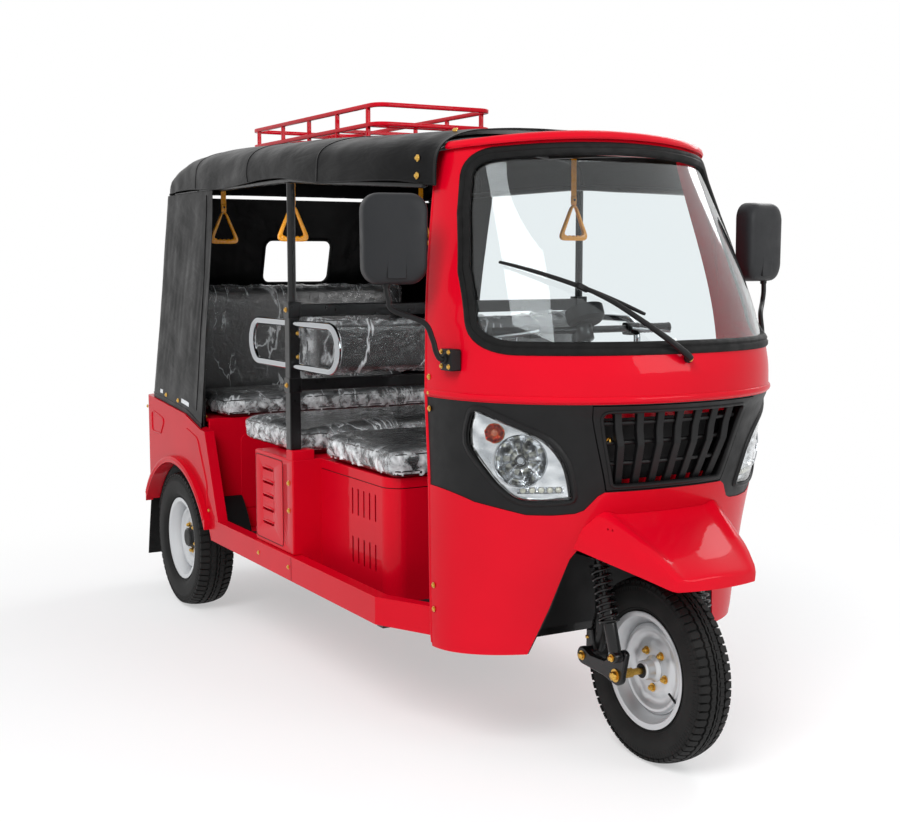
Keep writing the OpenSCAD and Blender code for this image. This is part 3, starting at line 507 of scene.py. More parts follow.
def lathe(name, profile, centre=(0, 0, 0), axis=(1, 0, 0), material=None, sides=64, closed=True, angle=30.0):
    # Turns (radius, distance along the axis) points about an axis
    axis = Vector(axis).normalized()
    side = axis.orthogonal().normalized()
    up = axis.cross(side)
    centre = Vector(centre)
    rows = []
    for k in range(sides):
        out = spoke(side, up, 2 * math.pi * k / sides)
        rows.append([centre + out * r + axis * h for r, h in profile])
    faces = quads(sides, len(profile), True, closed)
    return addMesh(name, [p for row in rows for p in row], faces, material, angle)


def block(name, low, high, material=None, bevel=0.0, segments=2):
    (x0, y0, z0), (x1, y1, z1) = low, high
    ring = [(x0, y0), (x1, y0), (x1, y1), (x0, y1)]
    obj = solid(name, [[(x, y, z0) for x, y in ring], [(x, y, z1) for x, y in ring]], material)
    return soften(obj, bevel, segments) if bevel else obj


def prism(name, outline, low, high, axis="y", material=None):
    # An outline in the plane across an axis, drawn out along it
    order = {"x": (2, 0, 1), "y": (0, 2, 1), "z": (0, 1, 2)}[axis]
    return solid(name, [[[(a, b, h)[i] for i in order] for a, b in outline] for h in (low, high)], material)


def join(name, parts):
    parts = [p for p in parts if p]
    mesh = bpy.data.meshes.new(name)
    bm = bmesh.new()
    slots = []
    for part in parts:
        for material in part.data.materials:
            if material not in slots:
                slots.append(material)
    custom = []
    for part in parts:
        moved = part.data.copy()
        moved.transform(part.matrix_world)
        remap = [slots.index(m) for m in part.data.materials] or [0]
        for face in moved.polygons:
            face.material_index = remap[min(face.material_index, len(remap) - 1)]
        normals = np.zeros(len(moved.loops) * 3)
        moved.corner_normals.foreach_get("vector", normals)
        custom.append(normals.reshape(-1, 3))
        bm.from_mesh(moved)
        bpy.data.meshes.remove(moved)
        bpy.data.objects.remove(part)
    bm.to_mesh(mesh)
    bm.free()
    for material in slots:
        mesh.materials.append(material)
    mesh.polygons.foreach_set("use_smooth", [True] * len(mesh.polygons))
    mesh.normals_split_custom_set(np.concatenate(custom).tolist())
    obj = bpy.data.objects.new(name, mesh)
    bpy.context.collection.objects.link(obj)
    return obj


def ring(centre, axis, radius, thick, material, sides=32):
    side = Vector(axis).orthogonal().normalized()
    up = Vector(axis).normalized().cross(side)
    path = [Vector(centre) + radius * spoke(side, up, 2 * math.pi * k / sides) for k in range(sides)]
    return tube("ring", path, thick, material, 8, True)


def mirrored(obj, name=None):
    # A copy across the middle plane
    mesh = obj.data.copy()
    mesh.transform(Matrix.Diagonal((-1, 1, 1, 1)))
    mesh.flip_normals()
    other = bpy.data.objects.new(name or obj.name, mesh)
    bpy.context.collection.objects.link(other)
    return other


def both(name, parts):
    parts = list(parts)
    return join(name, parts + [mirrored(p) for p in parts])


def place(obj, body, *nodes, slot=None):
    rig.ride(obj, body)
    if nodes:
        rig.replaces(obj, *nodes)
    if slot:
        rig.slot(obj, slot)
    print("piece", obj.name, len(obj.data.polygons))
    return obj


def boltHead(at, facing, radius, height, material, washer=0.0):
    # Hexagon head with a domed top, on an optional washer
    at, facing = Vector(at), Vector(facing).normalized()
    parts = []
    if washer:
        parts.append(rod("washer", at, at + facing * height * 0.25, washer, material, 20))
        at = at + facing * height * 0.25
    parts.append(tube("head", [at, at + facing * height * 0.8, at + facing * height], radius, material, 6,
                      radii=[radius, radius, radius * 0.8]))
    return parts


# ---- Materials ----


def linear(hexText):
    # sRGB hex text to the linear colour that Blender mixes in
    values = [int(hexText[i:i + 2], 16) / 255 for i in (0, 2, 4)]
    return tuple(v / 12.92 if v <= 0.04045 else ((v + 0.055) / 1.055) ** 2.4 for v in values) + (1.0,)


def add(tree, kind, links=None, values=None, **settings):
    # A node with its settings, its plain values and what feeds it
    node = tree.nodes.new("ShaderNode" + kind)
    for key, value in settings.items():
        setattr(node, key, value)
    for key, value in (values or {}).items():
        node.inputs[key].default_value = value
    for key, source in (links or {}).items():
        tree.links.new(source, node.inputs[key])
    return node


def surface(name, colour, roughness, metal=0.0, **values):
    # A material with one principled shader, ready to be built on
    material = bpy.data.materials.new(name)
    material.use_nodes = True
    tree = material.node_tree
    shader = tree.nodes["Principled BSDF"]
    shader.inputs["Base Color"].default_value = linear(colour)
    shader.inputs["Roughness"].default_value = roughness
    shader.inputs["Metallic"].default_value = metal
    for key, value in values.items():
        shader.inputs[key.replace("_", " ")].default_value = value
    return material, tree, shader


def waves(tree, size, detail=3.0, rough=0.55, stretch=(1, 1, 1), distort=0.0):
    # Noise with features of a given size in metres
    where = add(tree, "TexCoord")
    scaled = add(tree, "Mapping", {0: where.outputs["Object"]}, {"Scale": stretch})
    values = {"Scale": 1.0 / size, "Detail": detail, "Roughness": rough, "Distortion": distort}
    return add(tree, "TexNoise", {0: scaled.outputs[0]}, values).outputs["Fac"]


def spread(tree, factor, low, high, a=0.3, b=0.7):
    # Maps a factor's middle range onto low to high
    return add(tree, "MapRange", {0: factor}, {1: a, 2: b, 3: low, 4: high}).outputs[0]


def blendColours(tree, factor, first, second):
    return add(tree, "Mix", {"Factor": factor}, {"A": linear(first), "B": linear(second)},
               data_type="RGBA").outputs["Result"]


def maths(tree, operation, *inputs):
    # Arithmetic on sources and plain numbers
    values = {i: v for i, v in enumerate(inputs) if isinstance(v, float)}
    links = {i: v for i, v in enumerate(inputs) if i not in values}
    return add(tree, "Math", links, values, operation=operation).outputs[0]


def bump(tree, height, depth, strength=1.0, after=None):
    links = {"Height": height}
    if after:
        links["Normal"] = after
    return add(tree, "Bump", links, {"Distance": depth, "Strength": strength}).outputs[0]


def feed(tree, shader, **sockets):
    for key, source in sockets.items():
        tree.links.new(source, shader.inputs[key.replace("_", " ")])


def redPaint():
    # Sprayed gloss enamel under a clear coat: deep crimson, sharp reflections with a faint orange-peel ripple
    material, tree, shader = surface("sprayed_red_enamel", "C4021C", 0.42, Coat_Weight=0.35,
                                     Coat_Roughness=0.03, Coat_IOR=1.33, Specular_IOR_Level=0.05)
    tint = blendColours(tree, spread(tree, waves(tree, 0.6), 0, 1), "CC031E", "BE021A")
    feed(tree, shader, Base_Color=tint, Coat_Normal=bump(tree, waves(tree, 0.012, 1.0), 0.00012, 0.6))
    return material


def blackPaint():
    # Powder-coated steel tube: satin black with a fine grain that breaks the highlight
    material, tree, shader = surface("powder_coated_black_steel", "080809", 0.34, Coat_Weight=0.2,
                                     Specular_IOR_Level=0.3)
    feed(tree, shader, Roughness=spread(tree, waves(tree, 0.02), 0.26, 0.42),
         Normal=bump(tree, waves(tree, 0.0015), 0.00005))
    return material


def matteBlack(name="moulded_black_plastic", colour="0B0B0C", size=0.0016):
    # Moulded ABS plastic: dark, dull, with a leather-like grain seen close up
    material, tree, shader = surface(name, colour, 0.5, Specular_IOR_Level=0.28)
    feed(tree, shader, Roughness=spread(tree, waves(tree, 0.05), 0.42, 0.58),
         Normal=bump(tree, waves(tree, size), 0.00012))
    return material


def rubber(name="black_moulded_rubber", colour="090909", rough=0.62):
    # Moulded rubber: near black, soft sheen, mottled by wear
    material, tree, shader = surface(name, colour, rough, Specular_IOR_Level=0.25)
    feed(tree, shader, Roughness=spread(tree, waves(tree, 0.03), rough - 0.1, rough + 0.12),
         Normal=bump(tree, waves(tree, 0.003), 0.0001))
    return material


def tyreRubber():
    # Vulcanised tyre rubber: charcoal, greyed by road dust on the tread
    material, tree, shader = surface("vulcanised_tyre_rubber", "101010", 0.68, Specular_IOR_Level=0.25)
    tint = blendColours(tree, spread(tree, waves(tree, 0.05), 0, 0.6), "0D0D0D", "1E1D1C")
    feed(tree, shader, Base_Color=tint, Normal=bump(tree, waves(tree, 0.002), 0.00015))
    return material


def hoodVinyl():
    # PVC-coated canvas: black, slightly shiny, with a fine weave and soft creases
    material, tree, shader = surface("pvc_coated_hood_canvas", "060607", 0.42, Specular_IOR_Level=0.14)
    weave = waves(tree, 0.0009, 1.0)
    crease = waves(tree, 0.11, 3.0, 0.5, (1.0, 0.55, 1.6), 0.4)
    feed(tree, shader, Roughness=spread(tree, waves(tree, 0.12), 0.3, 0.46),
         Normal=bump(tree, crease, 0.012, 0.5, bump(tree, weave, 0.00006)))
    return material


def seatVinyl():
    # Upholstery vinyl under a clear plastic wrap: black with crumpled, glassy highlights
    material, tree, shader = surface("wrapped_seat_vinyl", "0A0A0B", 0.42, Coat_Weight=1.0,
                                     Coat_Roughness=0.06)
    crumple = waves(tree, 0.028, 4.0, 0.6, (1, 1, 1), 0.8)
    feed(tree, shader, Normal=bump(tree, waves(tree, 0.0025), 0.0001),
         Coat_Normal=bump(tree, crumple, 0.006, 0.7))
    return material


def chromePlate():
    # Polished chromium plate on steel tube: mirror bright with faint polishing haze
    material, tree, shader = surface("chromium_plated_steel", "AEB1B4", 0.06, 1.0)
    feed(tree, shader, Roughness=spread(tree, waves(tree, 0.03), 0.04, 0.12))
    return material


def silverPaint():
    # Silver wheel lacquer: pale aluminium flake, broad soft highlights
    material, tree, shader = surface("silver_wheel_lacquer", "C6C8CA", 0.36, 0.6, Coat_Weight=0.4,
                                     Coat_Roughness=0.15)
    feed(tree, shader, Roughness=spread(tree, waves(tree, 0.0007, 1.0), 0.3, 0.44))
    return material


def goldZinc():
    # Yellow-passivated zinc plating on fasteners: brassy with an iridescent mottle
    material, tree, shader = surface("yellow_passivated_zinc", "B8923C", 0.32, 1.0)
    tint = blendColours(tree, spread(tree, waves(tree, 0.004), 0, 1), "E8BE62", "C39443")
    feed(tree, shader, Base_Color=tint)
    return material


def castMetal(name="sand_cast_iron", colour="2E2E2F"):
    # Sand-cast and painted metal: dark grey, rough skin
    material, tree, shader = surface(name, colour, 0.6, 0.4)
    tint = blendColours(tree, spread(tree, waves(tree, 0.04), 0, 1), "2A2A2B", "3B3836")
    feed(tree, shader, Base_Color=tint, Normal=bump(tree, waves(tree, 0.004), 0.0004))
    return material


def glassPane():
    # Tinted safety glass: clear with a grey-green cast and clean reflections
    return surface("tinted_safety_glass", "E6EEF0", 0.0, Transmission_Weight=1.0, IOR=1.45,
                   Specular_IOR_Level=0.2)[0]


def lensClear():
    # Injection-moulded polycarbonate: water-clear, glossy
    return surface("clear_polycarbonate", "F4F6F7", 0.02, Transmission_Weight=1.0, IOR=1.3)[0]


def lensRed():
    # Red acrylic lamp lens: saturated, with inner ribs that catch light
    material, tree, shader = surface("red_acrylic", "7A0508", 0.1, Transmission_Weight=0.35, Coat_Weight=1.0)
    ribs = add(tree, "TexWave", {0: add(tree, "TexCoord").outputs["Object"]}, {"Scale": 60.0},
               bands_direction="Z")
    feed(tree, shader, Normal=bump(tree, ribs.outputs["Fac"], 0.0006))
    return material


def amberLens():
    # Orange indicator bulb: translucent amber
    material, tree, shader = surface("amber_glass", "D65A08", 0.12, Transmission_Weight=0.4, Coat_Weight=1.0)
    feed(tree, shader, Roughness=spread(tree, waves(tree, 0.01), 0.08, 0.2))
    return material


def reflector():
    # Vacuum-metallised bowl: bright mirror, a little soft, with dark and bright patches painted into its colour as
    # painted reflections of dark surroundings
    material, tree, shader = surface("vacuum_metallised_reflector", "B4B8BB", 0.12, 1.0)
    # Painted reflection: the base colour goes from dark grey to near white in patches, standing in for mirrored dark
    # surroundings
    paintedReflectionPatches = spread(tree, waves(tree, 0.03, 2.0), 0, 1, 0.40, 0.56)
    feed(tree, shader, Base_Color=blendColours(tree, paintedReflectionPatches, "4A4E52", "F2F4F6"),
         Normal=bump(tree, waves(tree, 0.03, 1.0), 0.0016))
    return material


def platedPlastic():
    # Vacuum-plated lamp housing: bright silver with soft shallow waves, its colour painted with darker and brighter
    # patches as painted reflections
    material, tree, shader = surface("vacuum_plated_lamp_housing", "F1F2F3", 0.2, 1.0)
    # Painted reflection: the silver colour darkens and brightens in broad patches, standing in for what the plating
    # mirrors
    tint = blendColours(tree, spread(tree, waves(tree, 0.07, 1.0, 0.5, (1, 1, 1.6)), 0, 1, 0.35, 0.62),
                        "B4B7BA", "FAFBFC")
    feed(tree, shader, Base_Color=tint, Normal=bump(tree, waves(tree, 0.05, 1.0, 0.5, (1, 1, 2)), 0.002))
    return material


def amberReflector():
    # Vacuum-silvered plastic that mirrors its amber bulb; its orange colour is a painted reflection of that bulb
    material, tree, shader = surface("amber_lit_reflector", "E0763A", 0.16, 1.0)
    feed(tree, shader, Roughness=spread(tree, waves(tree, 0.004), 0.12, 0.22))
    return material


def ledWhite():
    # LED domes: milky white with a slight glow
    return surface("epoxy_led_dome", "C9C7B6", 0.15, Emission_Strength=0.03,
                   Emission_Color=linear("FFFFFF"), Coat_Weight=0.6)[0]


def yellowPlastic():
    # Moulded yellow-orange grip plastic: warm, semi-gloss
    material, tree, shader = surface("moulded_yellow_plastic", "FFA80F", 0.3, Coat_Weight=0.3)
    feed(tree, shader, Roughness=spread(tree, waves(tree, 0.012), 0.22, 0.36))
    return material


def whiteTape():
    # Retro-reflective tape: cool white with a fine honeycomb
    material, tree, shader = surface("retroreflective_tape", "DDE0E2", 0.3)
    cells = add(tree, "TexVoronoi", {0: add(tree, "TexCoord").outputs["Object"]}, {"Scale": 260.0},
                feature="DISTANCE_TO_EDGE")
    feed(tree, shader, Roughness=spread(tree, cells.outputs["Distance"], 0.2, 0.5, 0.0, 0.2))
    return material


def mirrorGlass():
    # Silvered mirror: neutral, sharp
    material, tree, shader = surface("silvered_mirror_glass", "DCE0E2", 0.02, 1.0)
    feed(tree, shader, Roughness=spread(tree, waves(tree, 0.05), 0.01, 0.03))
    return material


def dialPaper():
    # Printed dial under a clear cover: near black with a pale ring
    material, tree, shader = surface("printed_dial", "141516", 0.2, Coat_Weight=1.0)
    feed(tree, shader, Roughness=spread(tree, waves(tree, 0.02), 0.15, 0.3))
    return material


red, black, plastic, soft = redPaint(), blackPaint(), matteBlack(), rubber()
darkGrey = matteBlack("moulded_grey_plastic", "1E1F21", 0.002)
matRubber = rubber("ribbed_mat_rubber", "1D1E20", 0.55)
tyreMaterial, hoodMaterial, seatMaterial = tyreRubber(), hoodVinyl(), seatVinyl()
chrome, silver, gold, iron = chromePlate(), silverPaint(), goldZinc(), castMetal()
glass, lens, redLens, amber = glassPane(), lensClear(), lensRed(), amberLens()
housingSilver = platedPlastic()
bowl, amberBowl, led, yellow = reflector(), amberReflector(), ledWhite(), yellowPlastic()
tape, mirrorFace, dial = whiteTape(), mirrorGlass(), dialPaper()

nodeMaterials = {
    red: ["cab_nose", "front_fender", "cab_front", "roof_visor", "roof_rack", "seat_box", "rear_bench_base",
          "rear_body", "luggage_hatch", "floor_pan", "grille"],
    black: ["chassis_frame", "canopy_frame", "centre_posts", "front_fork", "front_shocks", "handlebar"],
    plastic: ["lamp_panels", "wheel_liner", "dashboard", "mirrors", "wiper", "wheel_housings"],
    soft: ["windshield_seal", "mud_flaps"],
    matRubber: ["floor_mats"],
    hoodMaterial: ["canopy_cover", "rear_curtain"],
    seatMaterial: ["driver_seat", "middle_bench", "middle_backrest", "rear_bench_cushion", "rear_backrest"],
    iron: ["engine", "rear_axle", "leaf_springs", "exhaust", "suspension_links"],
    tyreMaterial: ["front_tyre", "rear_tyre_right", "rear_tyre_left"],
    silver: ["front_rim", "rear_rim_right", "rear_rim_left"],
    lens: ["headlamps"], redLens: ["tail_lamps"], glass: ["windshield_glass"], chrome: ["grab_rails"],
    yellow: ["grab_handles"],
}
for material, names in nodeMaterials.items():
    for name in names:
        data = frame["nodes"][name].data
        data.materials.clear()
        data.materials.append(material)
print("materials")


# ---- Cab ----

cab = {
    "wall": 0.025, "turns": 96, "lip": 0.0065, "glassInset": 0.009,
    "grilleLow": 0.206, "grilleTop": 0.285, "grilleFoot": 0.795,
}


def cabShell(name, low, high, inset, wall, material, levels=24):
    turns = np.linspace(-math.pi / 2, math.pi / 2, cab["turns"] + 1)
    heights = np.linspace(low, high, levels)
    outer = np.array([cabPoint(z, turns, inset) for z in heights])
    inner = np.array([cabPoint(z, turns, inset + wall) for z in heights])
    return shell(name, outer, inner, material)


def outlinePrism(outline, low=frontY - 0.35, high=frontY + 0.1):
    return prism("tool", outline, low, high)


wheelWell = [(-0.345, noseZ - 0.02), (-0.319, 0.377), (-0.296, 0.452), (-0.262, 0.6), (-0.235, 0.642),
             (-0.2, 0.662), (0.2, 0.662), (0.235, 0.642), (0.262, 0.6), (0.296, 0.452), (0.319, 0.377),
             (0.345, noseZ - 0.02)]
# Line where the black panels meet the red nose, from the middle outward
noseLine = [(0.205, 0.795), (0.222, 0.785), (0.239, 0.762), (0.252, 0.745), (0.274, 0.736), (0.33, 0.732),
            (0.393, 0.733), (0.449, 0.749), (0.496, 0.763), (0.57, 0.81)]
noseEdge = [(-x, z) for x, z in noseLine[::-1]] + noseLine


def grilleOutline(inset):
    low, top = cab["grilleLow"], cab["grilleTop"]
    return [(-low + inset, cab["grilleFoot"] + inset), (-top + inset, panelTop - inset),
            (top - inset, panelTop - inset), (low - inset, cab["grilleFoot"] + inset)]


# Outline of the left lamp, seen from the front
lampOutline = [(0.508, 1.022), (0.441, 0.980), (0.372, 0.941), (0.331, 0.893), (0.311, 0.850), (0.291, 0.778),
               (0.396, 0.774), (0.443, 0.802), (0.480, 0.857), (0.509, 0.928)]


def lampShape(grow=0.0, parts=4):
    # The lamp's outline with rounded corners, grown outward
    middle = Vector((sum(p[0] for p in lampOutline) / 10, sum(p[1] for p in lampOutline) / 10))
    inside = smoothPath([(x, z, 0) for x, z in lampOutline[:6]], parts)
    outside = smoothPath([(x, z, 0) for x, z in lampOutline[5:] + lampOutline[:1]], parts)
    round_ = roundCorners(inside[:-1] + outside[:-1], 0.006, closed=True, parts=2)
    out = []
    n = len(round_)
    for i, p in enumerate(round_):
        ahead = (round_[(i + 1) % n] - round_[i - 1]).normalized()
        side = Vector((ahead.y, -ahead.x))
        if side.dot(Vector((p.x, p.y)) - middle) < 0:
            side = -side
        out.append((p.x + side.x * grow, p.y + side.y * grow))
    return out


def mirrorOutline(outline):
    return [(-x, z) for x, z in outline]


nose = cabShell("nose", noseZ, 0.83, 0.0, cab["wall"], red, 40)
above = [(-0.7, 0.9), *noseEdge, (0.7, 0.9)]
nose = cut(nose, outlinePrism(above, high=frontY + 0.6), outlinePrism(wheelWell, high=frontY + 0.34))
nose = fieldNormals(soften(nose, 0.004, 3), cabField)
place(nose, "body", "cab_nose", slot="red_paint")

panels = cabShell("lampPanels", 0.72, panelTop, 0.002, 0.022, plastic, 30)
below = [(-0.7, 0.6), (-0.7, 0.81), *noseEdge, (0.7, 0.81), (0.7, 0.6)]
panels = cut(panels, outlinePrism(below, high=frontY + 0.6), outlinePrism(grilleOutline(0.0025)),
             outlinePrism(lampShape(0.001), high=frontY + 0.3),
             outlinePrism(mirrorOutline(lampShape(0.001)), high=frontY + 0.3))
panels = fieldNormals(soften(panels, 0.002), cabField)
place(panels, "body", "lamp_panels", slot="black_plastic")


def dense(outline, spacing):
    # The same outline with points no further apart than the spacing
    out = []
    for (x0, z0), (x1, z1) in zip(outline, outline[1:] + outline[:1]):
        n = max(1, math.ceil(math.hypot(x1 - x0, z1 - z0) / spacing))
        out += [(x0 + (x1 - x0) * k / n, z0 + (z1 - z0) * k / n) for k in range(n)]
    return out


def screenOutline(grow):
    # Rounded opening of the windscreen, seen from the front
    low, high = beltZ + 0.119 - grow, visorZ - 0.010 + grow
    wide = float(cabSide(low)) - 0.016 + grow
    narrow = float(cabSide(high)) - 0.016 + grow
    sides = [(float(cabSide(z)) - 0.009 + grow, z, 0) for z in (1.40, 1.56)]
    corners = [(-wide, low, 0), *[(-x, z, 0) for x, z, _ in sides], (-narrow, high, 0), (narrow, high, 0),
               *sides[::-1], (wide, low, 0)]
    rounded = roundCorners(corners, 0.085 + grow, closed=True, parts=9)
    top = max(p.y for p in rounded)
    crown = [(p.x, p.y + (0.018 * (1 - (p.x / narrow) ** 2) if p.y > top - 0.05 else 0)) for p in rounded]
    return dense(crown, 0.02)


def followCab(name, outline, section, material):
    # Sweeps (across, out) points round an outline laid on the cab's skin
    n = len(outline)
    points = [onCab(x, z) for x, z in outline]
    normals = slopes(cabField, np.array(points))
    rows = []
    for i, p in enumerate(points):
        out = Vector(normals[i])
        ahead = (points[(i + 1) % n] - points[i - 1]).normalized()
        across = ahead.cross(out).normalized()
        rows.append([p + across * a + out * b for a, b in section])
    return solid(name, rows, material, angle=40, loop=True)


front = cabShell("cabFront", panelTop, visorZ, 0.0, cab["wall"], red, 60)
opening = [(x, z + 0.010 * min(1, max(0, (z - visorZ + 0.12) / 0.06))) for x, z in screenOutline(-0.011)]
front = cut(front, prism("tool", opening, frontY - 0.35, frontY + 0.35))
front = fieldNormals(soften(front, 0.002), cabField)
lipTurns = np.linspace(-math.pi / 2, math.pi / 2, 97)
lipRows = []
for a in np.linspace(0, 2 * math.pi, 12, endpoint=False):
    lipRows.append(cabPoint(panelTop + 0.012 + 0.010 * math.sin(a), lipTurns,
                            0.001 - cab["lip"] * math.cos(a)))
lip = solid("lip", np.array(lipRows).transpose(1, 0, 2), red, 50)
place(join("cabFrontPanel", [front, lip]), "body", "cab_front", slot="red_paint")

sealSection = [(-0.019, -0.01), (-0.019, 0.002), (-0.014, 0.0075), (-0.005, 0.0095), (0.001, 0.0065),
               (0.006, 0.009), (0.014, 0.0065), (0.019, 0.001), (0.019, -0.01)]
seal = followCab("windscreenSeal", screenOutline(-0.018), sealSection, soft)
place(seal, "body", "windshield_seal", slot="black_rubber")

pane = cabShell("windscreen", beltZ + 0.12, visorZ - 0.002, cab["glassInset"], 0.005, glass, 50)
pane = cut(pane, prism("tool", screenOutline(-0.026), frontY - 0.35, frontY + 0.35), operation="INTERSECT")
place(fieldNormals(pane, cabField), "body", "windshield_glass", slot="screen_glass")

visorTurns = np.linspace(-math.pi / 2, math.pi / 2, 61)
visorRings = []
for rise, reach in ((0.0005, 0.004), (0.0005, 0.013), (0.006, 0.0155), (0.016, 0.0125), (0.023, 0.004),
                    (0.0275, -0.03), (0.03, -0.08)):
    arc = cabPoint(visorZ, visorTurns, -reach) + [0, 0, rise]
    visorRings.append(np.concatenate([arc, [[arc[-1][0], hoodFront - 0.001, arc[-1][2]],
                                            [arc[0][0], hoodFront - 0.001, arc[0][2]]]]))
visor = solid("roofVisor", visorRings, red, 40)
visor = cut(visor, block("tool", (-0.7, hoodFront - 0.0015, 1.6), (0.7, hoodFront + 0.2, 1.95)))
place(visor, "body", "roof_visor", slot="red_paint")

# ---- Grille ----

grille = {"slats": 7, "pitchTop": 0.066, "pitchLow": 0.0525, "slatWidth": 0.0235, "kink": 0.55,
          "proud": 0.021, "barRadius": 0.0065, "openTop": 0.247, "openLow": 0.184, "openHigh": 1.018,
          "openFoot": 0.815}


def grilleOpening(grow):
    g = grille
    corners = [(-g["openLow"] - grow, g["openFoot"] - grow, 0), (-g["openTop"] - grow, g["openHigh"] + grow,
                                                                 0),
               (g["openTop"] + grow, g["openHigh"] + grow, 0), (g["openLow"] + grow, g["openFoot"] - grow,
                                                                0)]
    return dense([(p.x, p.y) for p in roundCorners(corners, 0.014 + grow, True, 5)], 0.03)


band = cabShell("grilleFrame", cab["grilleFoot"], panelTop, 0.001, 0.026, plastic, 20)
band = cut(band, outlinePrism(grilleOutline(0.0055)), operation="INTERSECT")
band = cut(band, outlinePrism(grilleOpening(0)))
grilleParts = [fieldNormals(soften(band, 0.003, 3), cabField)]
lipSection = [(-0.005, -0.006), (-0.004, 0.001), (-0.001, 0.003), (0.003, 0.0025), (0.006, -0.002),
              (0.006, -0.006)]
grilleParts.append(followCab("lip", grilleOpening(0.005), lipSection, plastic))
foot, head = grille["openFoot"] - 0.006, grille["openHigh"] + 0.006
for i in range(grille["slats"]):
    share = i - (grille["slats"] - 1) / 2
    rows = []
    for t in (0, 0.2, 0.4, grille["kink"] - 0.03, grille["kink"], grille["kink"] + 0.03, 0.75, 1):
        z = foot + (head - foot) * t
        x = share * (grille["pitchLow"] + (grille["pitchTop"] - grille["pitchLow"]) * t)
        p = onCab(x, z)
        half = grille["slatWidth"] / 2
        fold = t / grille["kink"] if t < grille["kink"] else (1 - t) / (1 - grille["kink"])
        back = 0.019 - grille["proud"] * min(1, fold)
        rows.append([p + Vector((dx, back + dy, 0)) for dx, dy in ((-half, 0.014), (-half, 0.002),
                                                                   (-half + 0.002, 0), (half - 0.002, 0),
                                                                   (half, 0.002), (half, 0.014),
                                                                   (half - 0.003, 0.014),
                                                                   (half - 0.003, 0.005),
                                                                   (-half + 0.003, 0.005),
                                                                   (-half + 0.003, 0.014))])
    grilleParts.append(solid("slat", rows, plastic, 25))
for t in (0.29, 0.56, 0.81):
    z = foot + (head - foot) * t
    wide = grille["openLow"] + (grille["openTop"] - grille["openLow"]) * t
    grilleParts.append(tube("bar", [onCab(x, z, -0.021) for x in np.linspace(-wide, wide, 21)],
                            grille["barRadius"], plastic, 12))
# Painted shade: the black plastic backing deep behind the slats stands for the shadowed hollow behind the grille; the
# red bands at its top and foot are the paint behind it
for low, high, inset, material in ((cab["grilleFoot"], panelTop, 0.064, plastic),
                                   (1.0, panelTop, 0.05, red), (cab["grilleFoot"], 0.822, 0.052, red)):
    backing = cabShell("backing", low, high, inset, 0.003, material, 12)
    backing = cut(backing, outlinePrism(grilleOutline(0.002)), operation="INTERSECT")
    grilleParts.append(fieldNormals(backing, cabField))
walls = cabShell("walls", cab["grilleFoot"], panelTop, 0.024, 0.043, plastic, 12)
walls = cut(walls, outlinePrism(grilleOutline(0.002)), operation="INTERSECT")
grilleParts.append(cut(walls, outlinePrism(grilleOutline(0.007))))
grilleParts += boltHead(onCab(-0.206, 0.935, -0.024), (0, -1, 0.1), 0.0062, 0.006, gold, 0.009)
place(join("grilleWithSlats", grilleParts), "body", "grille", slot="black_plastic")

# ---- Headlamps ----

lamps = {"bowlAt": (0.423, 0.882), "bowlRadius": 0.071, "depth": 0.06}


